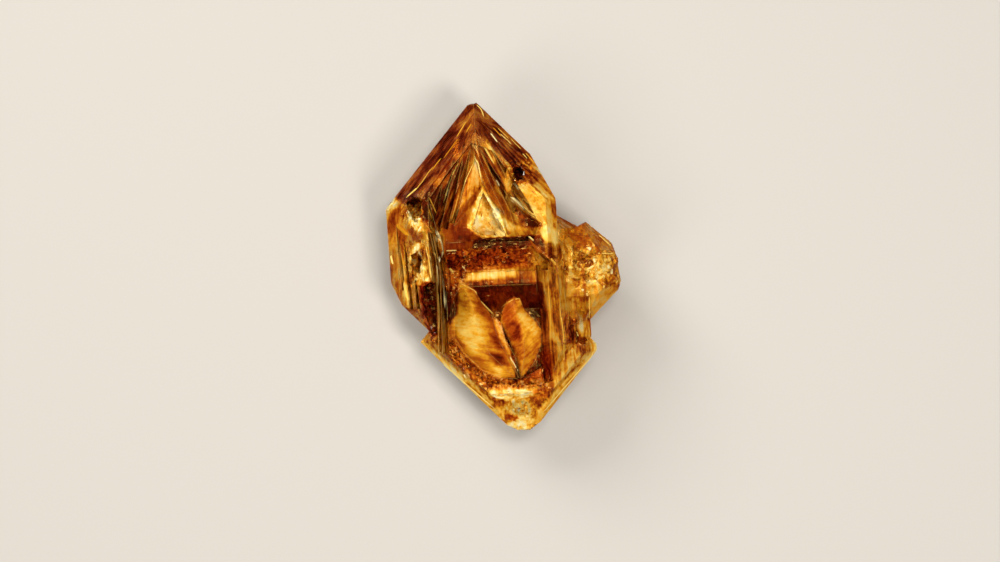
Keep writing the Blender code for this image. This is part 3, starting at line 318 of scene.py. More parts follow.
# Each sliver: its width in mm, its tone, and the points of its line.
SLIVERS_AND_GLINTS = (
    (0.34, 0.02, (-0.1, 23.9), (1.1, 22)), (0.26, 0.12, (1.6, 23.8), (3.7, 21.6)),
    (0.2, 0.22, (3.4, 22.9), (5.4, 20.6)), (0.28, 0.16, (-2.3, 29.5), (-1.4, 28.4), (-1, 26.8)),
    (0.26, 0.16, (5.4, 20), (6.2, 18.9)), (0.3, 0.34, (-4.1, 26.4), (-6.2, 23.4)),
    (0.36, 0.5, (-5.6, 23.4), (-8.8, 19.7)), (0.3, 0.4, (-3.2, 25.8), (-4.3, 24.2)),
    (0.26, 0.38, (-9, 20.1), (-11, 17.9)), (0.24, 0.3, (1.2, 25), (3.3, 22.6)),
    (0.24, 0.36, (5.9, 20.2), (8, 17.4)), (0.34, 0.48, (0.4, 25), (1.9, 23.1)),
    (0.3, 0.18, (-1.6, 22), (0.3, 18.2)), (0.34, 0.12, (-3.3, 20.2), (-2.5, 18.5), (-2, 14.5)),
    (0.26, 0.16, (-3.1, 19.2), (-4.8, 16.2), (-7.6, 8.7)),
    (0.3, 0.2, (-6, 19), (-7.9, 15.8), (-8.4, 14.6), (-9.5, 11.5)), (0.4, 0.05, (-8.3, 14.7), (-8.9, 13.1)),
    (0.24, 0.3, (-10.4, 18.8), (-11.5, 17.7), (-12.7, 16.1), (-14.7, 14)),
    (0.4, 0.18, (-13.6, 15.1), (-15.9, 13.4)), (0.7, 0.06, (-18.3, 12.8), (-19.5, 11.5)),
    # Painted glints: the white slivers round the pit on the left bank, on the next two lines.
    (0.6, 0, (-15.8, 11.3), (-15.5, 10.2), (-15.1, 9.4)),
    (0.5, 0, (-15.1, 9.4), (-13.9, 9.3), (-13.2, 9.7)), (0.5, 0, (-13.9, 7.3), (-13.2, 8.1)),
    (0.8, 0.42, (-17.9, 8.9), (-15.7, 6.7)), (0.24, 0.36, (-12.3, 12.6), (-11.2, 8.5)),
    (0.22, 0.34, (-11.6, 13.1), (-10.6, 10.2)), (0.24, 0.3, (-6.4, 13.6), (-8.2, 8.5)),
    (0.5, 0.06, (1.5, 16.8), (0.4, 15.6)), (0.6, 0, (0.4, 15.6), (1, 14.4)),
    (0.6, 0.02, (3.3, 14.7), (4, 14.4), (4.4, 13.3)), (0.4, 0.24, (1.7, 13.6), (2.2, 12.9), (1.9, 12)),
    (0.75, 0.02, (2.7, 12.2), (3.9, 11.1), (5.1, 9.7)), (0.26, 0.22, (5.1, 9.7), (7.5, 7.7), (8.2, 6.9)),
    (0.3, 0.2, (3.8, 11.9), (6.1, 9.1), (7.9, 8.2)), (0.22, 0.3, (4.8, 12), (7, 9.8)),
    # Painted highlight: on the next six lines, the whitest slivers and the wide splinters that lean into
    # the bright bay stand in for its glow.
    (0.3, 0, (-1.3, 13), (-0.5, 10.3), (0.2, 7.7), (0.5, 6.3)),
    (0.8, 0.04, (-0.5, 10.4), (0.3, 8.6), (0.7, 6.4)), (0.9, 0.12, (-2.9, 7.3), (-1.6, 6.6), (-0.3, 6.5)),
    (0.8, 0.18, (-2.2, 9.4), (-1.5, 8.2)), (0.9, 0.06, (-0.9, 8.6), (-0.3, 7.4)),
    (0.8, 0.1, (1.2, 5.4), (-0.4, 7)), (0.6, 0.12, (0.3, 5.3), (-0.5, 6.6)),
    (0.2, 0.5, (-2.2, 11.6), (-2.8, 8.8)), (0.2, 0.44, (-1.6, 8.4), (-0.4, 6.2)),
    (0.24, 0.14, (-1.9, 14.1), (-2.9, 13.1), (-3.8, 9.7)), (0.4, 0.06, (0.5, 7.5), (1.7, 5.2)),
    (0.28, 0.34, (2.7, 17.7), (2.1, 15.5), (2.4, 12.8)),
    (0.5, 0, (-11, 7.7), (-10, 4.7), (-9.9, 3.5), (-10.9, 1.7), (-10.7, 0.2)),
    (0.56, 0, (-10.3, 0.2), (-10.1, -3), (-10.1, -7.1), (-9.8, -7.9)),
    (0.3, 0.06, (-11.6, 6), (-11.4, 2.6)), (0.3, 0.12, (-12.3, 3.2), (-12, -1.8)),
    (0.26, 0.06, (-11.2, 1.2), (-11.2, -2.8)),
    (0.28, 0.16, (-12.7, 7), (-12.2, 5.3), (-11.1, 2.3), (-10.7, 0.4)),
    (0.28, 0.2, (-13, 5.8), (-12.4, 2), (-12.2, -3.4)), (0.24, 0.12, (-9.5, 3.6), (-7.3, 3.5)),
    (0.4, 0.1, (-6.7, 0.8), (-6.1, -0.3)), (0.4, 0.24, (-9, 0.5), (-8.4, -0.6)),
    (0.3, 0.1, (5.4, 5.1), (6.9, 3.6)), (0.7, 0.66, (5.4, 4.6), (7.1, 2.3), (9.2, 0)),
    (0.5, 0.32, (8.9, 0.9), (10, -0.4)), (0.24, 0.2, (-7.5, -2.3), (-4.7, -3.9), (-4.4, -5.2)),
    (0.24, 0.24, (-4.2, -5.6), (-1.7, -8.5)),
    (0.26, 0.3, (-0.2, -7.2), (1.7, -6.1), (3, -5.9), (3.5, -7.6)),
    (0.24, 0.36, (8.4, -3), (8.4, -9.2), (8, -14.4)),
    (0.28, 0.32, (10.1, -6.9), (10.3, -13), (10.2, -19.2)), (0.5, 0.12, (-19.4, 3.5), (-19.1, 1.8)),
    (0.7, 0.2, (-17.9, 3.6), (-17.3, -1.2), (-16.5, -5.8)), (0.3, 0.14, (-12.1, -11.4), (-12.2, -14.6)),
    (0.28, 0.2, (-11.3, -3.6), (-11.5, -8), (-11.7, -11)), (0.26, 0.24, (-10.6, -8.4), (-10.7, -12.6)),
    (0.24, 0.22, (-11.6, -12.1), (-11.7, -14.8)), (0.45, 0.04, (-7.7, -18.7), (-7.5, -19.4)),
    (0.6, 0.1, (-5.1, -20.4), (-4.6, -20.9)), (0.22, 0.04, (0.3, -15.2), (1.6, -16.5)),
    (0.24, 0.04, (0.6, -15.9), (1.8, -18.7), (2.4, -19.8)),
    (0.6, 0.04, (-3.6, -22.1), (-2.1, -23.1), (-0.4, -23.4)), (0.6, 0.04, (1.1, -22.2), (4.2, -22.6)),
    (0.28, 0.12, (16.1, -15.2), (15.3, -17.2), (9.4, -23), (4.6, -27.9)),
    (0.28, 0.12, (-14.2, -13.9), (-8.5, -19.6), (-1.6, -26.4)),
    (0.28, 0.16, (12.9, -12), (13, -13.2), (12.6, -14.4)),
    # Painted glints: the short white slivers on the side crystal, on the next five lines.
    (0.3, 0.24, (15.5, -6.1), (15.4, -9), (15.3, -10.4)), (0.6, 0, (15.8, 2.4), (16.4, 1.9)),
    (0.5, 0, (16.8, 0.4), (17, -0.4)), (0.6, 0, (19, -1), (19.3, -1.7)),
    (0.4, 0.02, (19.9, -1.7), (19.7, -2.7)), (0.26, 0.16, (17.2, 1.2), (19.9, 1), (20.9, 1.1)),
    (0.3, 0.2, (17.9, 4.6), (19, 3.5), (20.1, 2.3)), (0.36, 0.1, (15.4, -1.6), (16.7, -0.9)),
    (0.5, 0.02, (14.2, -4.9), (14.5, -5.3)), (0.4, 0.02, (15, -5.7), (15.2, -6.2)),
    (0.44, 0.22, (20.9, -2.4), (20.6, -4.4)),
)


# ---- Settings ----


def setting(name, description, default, kind=FloatProperty, **more):
    return kind(name=name, description=description, default=default, **more)


def colour(name, description, default):
    return setting(name, description, default, FloatVectorProperty, subtype="COLOR", min=0.0, max=1.0)


class CrystalLook(PropertyGroup):
    """The quartz itself."""

    absorption_colour: colour("Absorption colour", "Light that the amber lets through", (0.985, 0.86, 0.35))
    absorption_density: setting("Absorption density", "How fast light is absorbed", 80.0, min=0.0)
    ior: setting("IOR", "Index of refraction of quartz", 1.544, min=1.0, max=3.0)
    film_gap: setting("Film gap", "How far films lie over the quartz", 0.03 * MM, unit="LENGTH", min=0.0)
    # The worn lines are pale lines of wear, and they are also painted highlights along the edges.
    edge_width: setting("Edge width", "Width of the worn lines", 0.09 * MM, unit="LENGTH", min=0.0)


class StageLook(PropertyGroup):
    """The floor, the lights and the camera."""

    floor_colour: colour("Floor colour", "Colour of the plain floor", (0.55, 0.51, 0.45))
    world_strength: setting("Surround", "Strength of the even light all round", 0.08, min=0.0)
    key_power: setting("Key light", "Power of the main light", 2.8, unit="POWER")
    fill_power: setting("Fill light", "Power of the second light", 1.2, unit="POWER")
    front_power: setting("Front light", "Power of the high light", 1.4, unit="POWER")
    top_power: setting("Top light", "Power of the steepest light", 1.2, unit="POWER")
    camera_height: setting("Camera height", "From the crystal's outline to the lens", 0.5, unit="LENGTH")
    roll: setting("Roll", "How far the c axis leans", math.radians(4.0), subtype="ANGLE")


# ---- Modelling helpers ----

SAME_PLACE = 0.001 * MM  # vertices nearer to each other than this are one


def select_only(obj):
    bpy.ops.object.select_all(action="DESELECT")
    obj.select_set(True)
    bpy.context.view_layer.objects.active = obj


def edit(obj, select="SELECT", mode="VERT"):
    select_only(obj)
    bpy.ops.object.mode_set(mode="EDIT")
    bpy.ops.mesh.select_mode(type=mode)
    bpy.ops.mesh.select_all(action=select)


def leave_edit():
    bpy.ops.object.mode_set(mode="OBJECT")


def put_in_scene(name, data):
    obj = bpy.data.objects.new(name, data)
    bpy.context.scene.collection.objects.link(obj)
    return obj


def copy_of(obj, name):
    piece = put_in_scene(name, obj.data.copy())
    piece.data.name = name
    return piece


def convert(obj, target):
    select_only(obj)
    bpy.ops.object.convert(target=target)
    return bpy.context.object


def dress(piece, *materials):
    piece.data.materials.clear()
    for material in materials:
        piece.data.materials.append(material)


def read(items, key, width):
    """What each of a mesh's items holds, one row for each."""
    values = np.empty(len(items) * width, dtype=np.float32)
    items.foreach_get(key, values)
    return values.reshape(-1, width)


def read_attribute(mesh, name):
    return read(mesh.attributes[name].data, "value", 1)[:, 0]


def set_attribute(mesh, name, values):
    if name not in mesh.attributes:
        mesh.attributes.new(name, "FLOAT" if values.ndim == 1 else "FLOAT_VECTOR", "POINT")
    key = "value" if values.ndim == 1 else "vector"
    mesh.attributes[name].data.foreach_set(key, values.astype(np.float32).ravel())


def set_places(mesh, places):
    mesh.vertices.foreach_set("co", places.ravel())
    mesh.update()


def coordinates(mesh):
    """Each vertex's place in the layout, in mm."""
    return (read(mesh.vertices, "co", 3) - np.array(LAYOUT_ZERO)) / MM


def depth_inside(outline, x, y):
    """How far each point is inside an outline, in mm, and below zero outside it."""
    nearest = np.full(len(x), np.inf)
    found = np.zeros(len(x), dtype=bool)
    for (x1, y1), (x2, y2) in zip(outline, outline[1:] + outline[:1]):
        run, rise = x2 - x1, y2 - y1
        share = np.clip(((x - x1) * run + (y - y1) * rise) / (run * run + rise * rise), 0.0, 1.0)
        nearest = np.minimum(nearest, np.hypot(x - x1 - share * run, y - y1 - share * rise))
        if rise:
            crosses = ((y1 > y) != (y2 > y)) & (x < run * (y - y1) / rise + x1)
            found ^= crosses
    return np.where(found, nearest, -nearest)


def keep_inside(mesh, spare=0.0):
    """Brings back vertices that are out of the crystal's box, or nearer than spare to its top or sides."""
    room = np.array((spare, spare, 0.0))
    lowest, highest = np.array(LOW) + room, np.array(HIGH) - spare
    set_places(mesh, np.clip(read(mesh.vertices, "co", 3), lowest, highest))


# ---- Material helpers ----


def new_material(name):
    material = bpy.data.materials.new(name)
    material.use_nodes = True
    return material, material.node_tree, material.node_tree.nodes["Principled BSDF"]


def plug(tree, node, **inputs):
    """Sets a node's sockets, by name or as _number: each gets a value, or a link from another's socket."""
    for name, value in inputs.items():
        socket = node.inputs[int(name[1:]) if name[0] == "_" else name.replace("_", " ")]
        if isinstance(value, bpy.types.NodeSocket):
            tree.links.new(value, socket)
        else:
            socket.default_value = value
    return node


def add(tree, kind, **inputs):
    return plug(tree, tree.nodes.new(kind), **inputs)


def maths(tree, operation, first, second=0.0, clamp=False):
    node = add(tree, "ShaderNodeMath", _0=first, _1=second)
    node.operation = operation
    node.use_clamp = clamp
    return node.outputs[0]


def times(tree, first, second, clamp=False):
    return maths(tree, "MULTIPLY", first, second, clamp)


def plus(tree, first, second, clamp=False):
    return maths(tree, "ADD", first, second, clamp)


def ramp(tree, factor, stops):
    node = add(tree, "ShaderNodeValToRGB", Fac=factor)
    elements = node.color_ramp.elements
    for n, (place, shade) in enumerate(stops):
        element = elements[n] if n < 2 else elements.new(place)
        element.position = place
        element.color = (*shade, 1.0)
    return node.outputs["Color"]


def noise(tree, vector, scale, detail=4.0, roughness=0.55, distortion=0.0):
    node = add(
        tree, "ShaderNodeTexNoise", Vector=vector, Scale=scale, Detail=detail, Roughness=roughness,
        Distortion=distortion,
    )
    return node.outputs["Fac"]


def bump(tree, height, strength, distance):
    node = add(tree, "ShaderNodeBump", Strength=strength, Distance=distance, Height=height)
    return node.outputs["Normal"]


def attribute(tree, name, output="Fac"):
    node = tree.nodes.new("ShaderNodeAttribute")
    node.attribute_name = name
    return node.outputs[output]


# Each pattern's scale, in features a metre: clouds are about 4 mm wide, and grains and chips about 0.6 mm.
CLOUDS, STEPS, GRAINS, SHAKE, CHIPS = 260.0, 150.0, 1400.0, 1500.0, 1700.0
FIBRES = 1.5  # features a millimetre, across the fibres
STEPPED = (0.5, 5.0, 0.5)  # draws the growth steps out across the c axis
SHAKEN = 0.9 * MM  # how far the chips' outlines are shaken
STREAK_START, STREAK_EDGE = 0.5, 22.0  # the fibres' value where streaks start, and how steeply
STEP_RELIEF, FIBRE_RELIEF, GRAIN_RELIEF = 0.5, 0.35, 0.2  # the share of each in the relief


def growth_pattern():
    """A node group with the quartz's own irregularities, which all its finishes share."""
    group = bpy.data.node_groups.new("growth pattern", "ShaderNodeTree")
    group.interface.new_socket("Place", in_out="INPUT", socket_type="NodeSocketVector")
    for label in ("Clouds", "Grains", "Fibres", "Streaks", "Chips", "Relief"):
        group.interface.new_socket(label, in_out="OUTPUT", socket_type="NodeSocketFloat")
    place = group.nodes.new("NodeGroupInput").outputs["Place"]
    clouds = noise(group, place, CLOUDS, roughness=0.5, distortion=0.6)
    grains = noise(group, place, GRAINS, roughness=0.6)
    fibres = noise(group, attribute(group, "strand", "Vector"), FIBRES, detail=3.0, distortion=0.25)
    stepped = add(group, "ShaderNodeMapping", Vector=place, Scale=STEPPED).outputs["Vector"]
    steps = noise(group, stepped, STEPS, detail=2.0)
    relief = plus(group, times(group, steps, STEP_RELIEF), times(group, fibres, FIBRE_RELIEF))
    relief = plus(group, relief, times(group, grains, GRAIN_RELIEF))
    shaken = add(group, "ShaderNodeTexNoise", Vector=place, Scale=SHAKE, Detail=2.0).outputs["Color"]
    spread = add(group, "ShaderNodeVectorMath", _0=shaken, _1=(SHAKEN, SHAKEN, SHAKEN), _2=place)
    spread.operation = "MULTIPLY_ADD"
    cells = add(group, "ShaderNodeTexVoronoi", Vector=spread.outputs[0], Scale=CHIPS)
    chips = add(group, "ShaderNodeSeparateColor", Color=cells.outputs["Color"]).outputs["Red"]
    streaks = times(group, maths(group, "SUBTRACT", fibres, STREAK_START), STREAK_EDGE, clamp=True)
    plug(
        group, group.nodes.new("NodeGroupOutput"), Clouds=clouds, Grains=grains, Fibres=fibres,
        Streaks=streaks, Chips=chips, Relief=relief,
    )
    return group


def use_pattern(tree):
    node = tree.nodes.new("ShaderNodeGroup")
    node.node_tree = bpy.data.node_groups.get("growth pattern") or growth_pattern()
    tree.links.new(add(tree, "ShaderNodeTexCoord").outputs["Object"], node.inputs["Place"])
    return node.outputs


def unevenness(tree, pattern, gains):
    """Patterns added up: each lies round 0.5, and is spread round zero by its gain."""
    whole = 0.0
    for label, gain in gains.items():
        whole = plus(tree, whole, times(tree, maths(tree, "SUBTRACT", pattern[label], 0.5), gain))
    return whole


# ---- The quartz ----

CLEAR = (0.98, 0.72, 0.2)
HONEY = (0.9, 0.4, 0.045)
RUST = (0.46, 0.095, 0.01)
MAROON = (0.07, 0.008, 0.002)
STAINS_AND_SHADE = ((0.0, CLEAR), (0.3, HONEY), (0.62, RUST), (1.0, MAROON))
GLINT = (1.0, 0.58, 0.12, 1.0)  # the tint of reflected light
STAIN_GAINS = dict(Clouds=1.3, Fibres=0.5)
LEAST_UNEVEN, STAIN_UNEVEN = 0.3, 0.7  # how uneven clear quartz is, and what full stain adds
POLISHED, FROSTED = 0.015, 0.4  # how rough clear quartz is, and what full frost adds
LEAST_GRAIN = 0.4  # so that frost has no clear spots between its grains


def amber_material(look):
    material, tree, shader = new_material("amber quartz")
    pattern = use_pattern(tree)
    stain = attribute(tree, "stain")
    reach = plus(tree, times(tree, stain, STAIN_UNEVEN), LEAST_UNEVEN)
    uneven = times(tree, unevenness(tree, pattern, STAIN_GAINS), reach)
    frost = times(tree, attribute(tree, "frost"), plus(tree, pattern["Grains"], LEAST_GRAIN))
    plug(
        tree, shader,
        Base_Color=ramp(tree, plus(tree, stain, uneven, clamp=True), STAINS_AND_SHADE),
        Roughness=plus(tree, times(tree, frost, FROSTED), POLISHED),
        Normal=bump(tree, pattern["Relief"], strength=0.35, distance=0.1 * MM),
        IOR=look.ior,
        Transmission_Weight=1.0,
        Metallic=0.0,
        Specular_Tint=GLINT,
    )
    tint = (*look.absorption_colour, 1.0)
    absorb = add(tree, "ShaderNodeVolumeAbsorption", Density=look.absorption_density, Color=tint)
    plug(tree, tree.nodes["Material Output"], Volume=absorb.outputs["Volume"])
    return material


FAN_TIP = (-2.9, 27.5)  # the fibres of the upper crystal spread from here
FAN_FOOT = 5.0  # and run along the c axis below this height
FAN_WIDTH = 14.0  # for each radian of it, in mm
FAN_START = 0.5  # no place counts as nearer below the tip than this, in mm
PLATE_FIBRES = ((LEFT_PLATE, 78.0), (RIGHT_PLATE, -52.0))  # how far they are turned there, in degrees
LENGTHWISE = 0.1  # a fibre's width, as a share of its length
DEPTHWISE = 0.5  # and of its depth


def lay_strands(mesh):
    """Writes where each vertex lies across and along the fibres, so that the pattern follows the growth."""
    x, y, z = coordinates(mesh).T
    from_tip = np.arctan2(x - FAN_TIP[0], np.maximum(FAN_TIP[1] - y, FAN_START))
    distance = np.hypot(x - FAN_TIP[0], y - FAN_TIP[1])
    in_fan = y > FAN_FOOT
    across = np.where(in_fan, from_tip * FAN_WIDTH, x)
    along = np.where(in_fan, distance, y)
    for outline, angle in PLATE_FIBRES:
        turn = math.radians(angle)
        inside = depth_inside(outline, x, y) > 0.0
        across = np.where(inside, x * math.cos(turn) + y * math.sin(turn), across)
        along = np.where(inside, y * math.cos(turn) - x * math.sin(turn), along)
    set_attribute(mesh, "strand", np.stack((across, along * LENGTHWISE, z * DEPTHWISE), axis=1))


BEHIND = -0.15  # a vertex whose normal's z is below this is behind
LEFT_BEHIND = dict(stain=0.35, frost=0.2, relief=0.0, cover=0.0)  # the share of each that is left there


def draw_areas(mesh):
    """Writes what AREAS says to the mesh's vertices. Behind, only a little stain and frost is left."""
    x, y, _ = coordinates(mesh).T
    values = {key: np.full(len(x), value, dtype=np.float32) for key, value in CLEAR_QUARTZ.items()}
    for soft, finish, *outline in AREAS:
        share = np.clip(depth_inside(outline, x, y) / soft + 0.5, 0.0, 1.0)
        share = share * share * (3.0 - 2.0 * share)  # it starts and ends gently
        for key, value in finish.items():
            values[key] += (value - values[key]) * share
    behind = read(mesh.vertices, "normal", 3)[:, 2] < BEHIND
    for key, left in LEFT_BEHIND.items():
        values[key][behind] *= left
    for key, value in values.items():
        set_attribute(mesh, key, value)


SEED = 7
DOWN_OR_UP = (-1.0, 0.25)  # how far a vertex may move, as shares of its relief
SIDEWAYS = (-0.5, 0.5)


def break_up(mesh):
    """Moves the vertices of broken and grainy areas a little, mostly down, so that their faces tilt."""
    chance = np.random.default_rng(SEED)
    amount = read_attribute(mesh, "relief")
    places = read(mesh.vertices, "co", 3)
    places[:, 2] += amount * MM * chance.uniform(*DOWN_OR_UP, len(amount))
    places[:, :2] += (amount * MM)[:, None] * chance.uniform(*SIDEWAYS, (len(amount), 2))
    set_places(mesh, places)


NEAREST_CUT = 0.0001 * MM  # a vertex nearer to a cut than this lies on it


def slice_up(obj):
    """Cuts the mesh on a square grid, so that its vertices can carry the areas, and keeps its shape."""
    edit(obj)
    for axis, normal in ((0, (1, 0, 0)), (1, (0, 1, 0))):
        steps = int((HIGH[axis] - LOW[axis]) / (SLICE * MM))
        for step in range(1, steps + 1):
            place = LOW.copy()
            place[axis] += (HIGH[axis] - LOW[axis]) * step / (steps + 1)
            bpy.ops.mesh.select_all(action="SELECT")
            bpy.ops.mesh.bisect(plane_co=place, plane_no=normal, threshold=NEAREST_CUT)
    leave_edit()


class CITRINE_OT_crystal(Operator):
    """The crystal itself: see-through amber quartz, stained and frosted by iron and growth"""

    bl_idname = "citrine.crystal"
    bl_label = "Crystal"

    def execute(self, context):
        look = context.scene.citrine_crystal_look
        piece = copy_of(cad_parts[NODE], "crystal")
        edit(piece)
        bpy.ops.mesh.remove_doubles(threshold=SAME_PLACE)
        leave_edit()
        slice_up(piece)
        draw_areas(piece.data)
        break_up(piece.data)
        keep_inside(piece.data, look.film_gap)
        lay_strands(piece.data)
        dress(piece, amber_material(look))
        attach(piece, BODY)
        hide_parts(NODE)
        return {"FINISHED"}


# ---- The films ----

WHITE = (1.0, 0.87, 0.4)
PALE = (1.0, 0.7, 0.14)
GOLD = (0.8, 0.35, 0.014)
OCHRE = (0.41, 0.092, 0.005)
RED_BROWN = (0.15, 0.014, 0.002)
NEARLY_BLACK = (0.03, 0.003, 0.001)
TONES = ((0.0, WHITE), (0.16, PALE), (0.38, GOLD), (0.58, OCHRE), (0.8, RED_BROWN), (1.0, NEARLY_BLACK))
REDDENED = (1.0, 0.42, 0.5, 1.0)  # what a film of pure rust keeps of its colour
TONE_GAINS = dict(Clouds=1.6, Fibres=0.8, Streaks=0.12, Grains=0.4)
CHIP_GAINS = dict(Chips=1.3)
HOLE_GAINS = dict(Clouds=1.4, Fibres=1.6)
MOST_HOLED = 1.3  # a film's holes grow with what its cover leaves of this
FADED = 4.0  # a film fades out where its cover, times this, is below 1


def film_material(name, shine):
    material, tree, shader = new_material(name)
    pattern = use_pattern(tree)
    broken = times(tree, attribute(tree, "relief"), unevenness(tree, pattern, CHIP_GAINS))
    uneven = times(tree, unevenness(tree, pattern, TONE_GAINS), attribute(tree, "mottle"))
    tone = plus(tree, attribute(tree, "tone"), plus(tree, uneven, broken), clamp=True)
    redden = tree.nodes.new("ShaderNodeMix")
    redden.data_type = "RGBA"
    redden.blend_type = "MULTIPLY"
    plug(tree, redden, Factor=attribute(tree, "rust"), A=ramp(tree, tone, TONES), B=REDDENED)
    cover = attribute(tree, "cover")
    holes = times(tree, unevenness(tree, pattern, HOLE_GAINS), maths(tree, "SUBTRACT", MOST_HOLED, cover))
    whole = times(tree, cover, FADED, clamp=True)
    plug(
        tree, shader,
        Base_Color=redden.outputs["Result"],
        Alpha=times(tree, plus(tree, cover, holes), whole, clamp=True),
        Normal=bump(tree, pattern["Relief"], strength=0.6, distance=0.15 * MM),
        Roughness=0.2,
        Specular_IOR_Level=shine,
        Specular_Tint=GLINT,
    )
    return material


LEAST_COVER = 0.04  # a face covered less than this all over has no film
UNDERSIDE = 0.02  # nor has one whose normal's z is below this
LEAST_SHINY = 0.75  # and where it is below this, on the steeper walls and facets, the film is dull


class CITRINE_OT_films(Operator):
    """Thin films of iron ochre and broken quartz on the plates, the ledges and the hollows' walls, which in
    places are painted highlights and painted shade
    """

    bl_idname = "citrine.films"
    bl_label = "Iron films"

    def execute(self, context):
        look = context.scene.citrine_crystal_look
        piece = copy_of(bpy.data.objects["crystal"], "iron_films")
        mesh = piece.data
        cover = read_attribute(mesh, "cover")
        edit(piece, select="DESELECT", mode="FACE")
        leave_edit()
        for face in mesh.polygons:
            bare = max(cover[v] for v in face.vertices) < LEAST_COVER
            face.select = bool(bare or face.normal.z < UNDERSIDE)
        bpy.ops.object.mode_set(mode="EDIT")
        bpy.ops.mesh.delete(type="FACE")
        bpy.ops.mesh.select_all(action="SELECT")
        bpy.ops.transform.shrink_fatten(value=look.film_gap)
        leave_edit()
        keep_inside(mesh)
        dress(piece, film_material("iron film", shine=0.0), film_material("glazed film", shine=0.5))
        for face in mesh.polygons:
            face.material_index = int(face.normal.z > LEAST_SHINY)
        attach(piece, BODY)
        return {"FINISHED"}


# ---- The slivers ----

SLIVER_STEP = 0.6  # between the points of a sliver's line, in mm
FEWEST_STEPS = 4
LONGEST_SPLINTER = 4.6  # mm; a longer sliver follows the surface, and a shorter one is straight
SPLINTER = (0.0, 0.12, 0.8, 1.0)  # a splinter's points, as shares of its length
SLIVER_SINK = 0.15  # how far a sliver's middle lies under the surface, as a share of its width
SLIVER_COVER = 0.92
WIDENING, NARROWING = 0.12, 0.2  # the shares of a sliver's length over which it tapers
THINNEST = 0.15  # and the share of its width that is left at its ends
OVER_ALL = 40.0  # a height over the whole crystal, in mm


def on_surface(piece, x, y):
    """The top of the piece at a place of the layout."""
    hit, place, _, _ = piece.ray_cast(at(x, y, OVER_ALL), Vector((0.0, 0.0, -1.0)))
    return place if hit else None


def traced(points):
    """The line's points, closely spaced, each with its share of the whole length."""
    lengths = [math.dist(first, second) for first, second in zip(points, points[1:])]
    count = max(FEWEST_STEPS, round(sum(lengths) / SLIVER_STEP))
    for n in range(count + 1):
        left = sum(lengths) * n / count
        for first, second, length in zip(points, points[1:], lengths):
            if left <= length + 1e-9:  # the last point may lie a rounding error beyond
                share = left / length
                x, y = (a + (b - a) * share for a, b in zip(first, second))
                yield x, y, n / count
                break
            left -= length


def add_slivers_and_glints(crystal, tone, lines):
    """One object with all the slivers of a tone: tapered rods that follow the surface."""
    curve = bpy.data.curves.new("slivers", "CURVE")
    curve.dimensions = "3D"
    curve.bevel_depth = 0.5 * MM  # so that a point's radius is the width there, in mm
    curve.bevel_resolution = 0
    curve.use_fill_caps = True
    for points, width in lines:
        places = [(on_surface(crystal, x, y), share) for x, y, share in traced(points)]
        places = [(place, share) for place, share in places if place]
        if len(places) < 2:
            raise RuntimeError(f"a sliver at {points[0]} isn't on the crystal")
        if len(points) == 2 and math.dist(*points) < LONGEST_SPLINTER:
            first, last = places[0][0], places[-1][0]
            places = [(first.lerp(last, share), share) for share in SPLINTER]
        spline = curve.splines.new("POLY")
        spline.points.add(len(places) - 1)
        for point, (place, share) in zip(spline.points, places):
            point.co = (*(place - Vector((0, 0, SLIVER_SINK * width * MM))), 1.0)
            point.radius = width * max(THINNEST, min(1.0, share / WIDENING, (1.0 - share) / NARROWING))
    rods = convert(put_in_scene("slivers", curve), "MESH")
    bpy.ops.object.shade_flat()
    count = len(rods.data.vertices)
    set_attribute(rods.data, "tone", np.full(count, tone))
    set_attribute(rods.data, "cover", np.full(count, SLIVER_COVER))
    lay_strands(rods.data)
    return rods


class CITRINE_OT_slivers(Operator):
    """Pale splinters, growth edges and slender columns that lie on the crystal's surface, the whitest of
    them painted glints
    """

    bl_idname = "citrine.slivers"
    bl_label = "Slivers"

    def execute(self, context):
        crystal = bpy.data.objects["crystal"]
        context.view_layer.update()
        groups = {}
        for width, tone, *points in SLIVERS_AND_GLINTS:
            groups.setdefault(tone, []).append((points, width))
        rods = [add_slivers_and_glints(crystal, tone, lines) for tone, lines in sorted(groups.items())]
        bpy.ops.object.select_all(action="DESELECT")
        for rod in rods:
            rod.select_set(True)
        context.view_layer.objects.active = rods[0]
        bpy.ops.object.join()
        piece = context.object
        piece.name = piece.data.name = "quartz_slivers"
        keep_inside(piece.data)
        dress(piece, bpy.data.materials["iron film"])
        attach(piece, BODY)
        return {"FINISHED"}


# ---- The worn edges: pale lines of wear that are also painted edge highlights ----

SAME_FACE = math.radians(0.5)  # faces that turn by less than this where they meet are one
SHARPEST_FLAT = math.radians(34.0)  # a ridge gets the pale line of wear and painted highlight where its faces turn by more than this
SHORTEST_EDGE = 2.0  # and it is longer than this, in mm
MOST_BROKEN = 0.09  # and its ends are less broken than this
LOWEST_FACING = -0.3  # and the normal of one of its faces has a z above this
WEAR_AND_HIGHLIGHT = ((0.35, (1.0, 0.72, 0.24)), (0.65, (0.86, 0.38, 0.04)))
WEAR_AND_HIGHLIGHT_GAINS = dict(Clouds=3.0, Grains=2.0)
WORN_AND_HIGHLIT_SHARE = 0.45  # about how much of an edge carries the pale line of wear and painted highlight
WEAR_AND_HIGHLIGHT_COVER = 0.4


def wear_and_highlight_material():
    material, tree, shader = new_material("worn edge")
    pattern = use_pattern(tree)
    worn_and_highlit = plus(tree, unevenness(tree, pattern, WEAR_AND_HIGHLIGHT_GAINS), WORN_AND_HIGHLIT_SHARE, clamp=True)
    plug(
        tree, shader,
        Base_Color=ramp(tree, pattern["Clouds"], WEAR_AND_HIGHLIGHT),
        Alpha=times(tree, worn_and_highlit, WEAR_AND_HIGHLIGHT_COVER),
        Roughness=0.25,
        Specular_IOR_Level=0.1,
    )
    return material


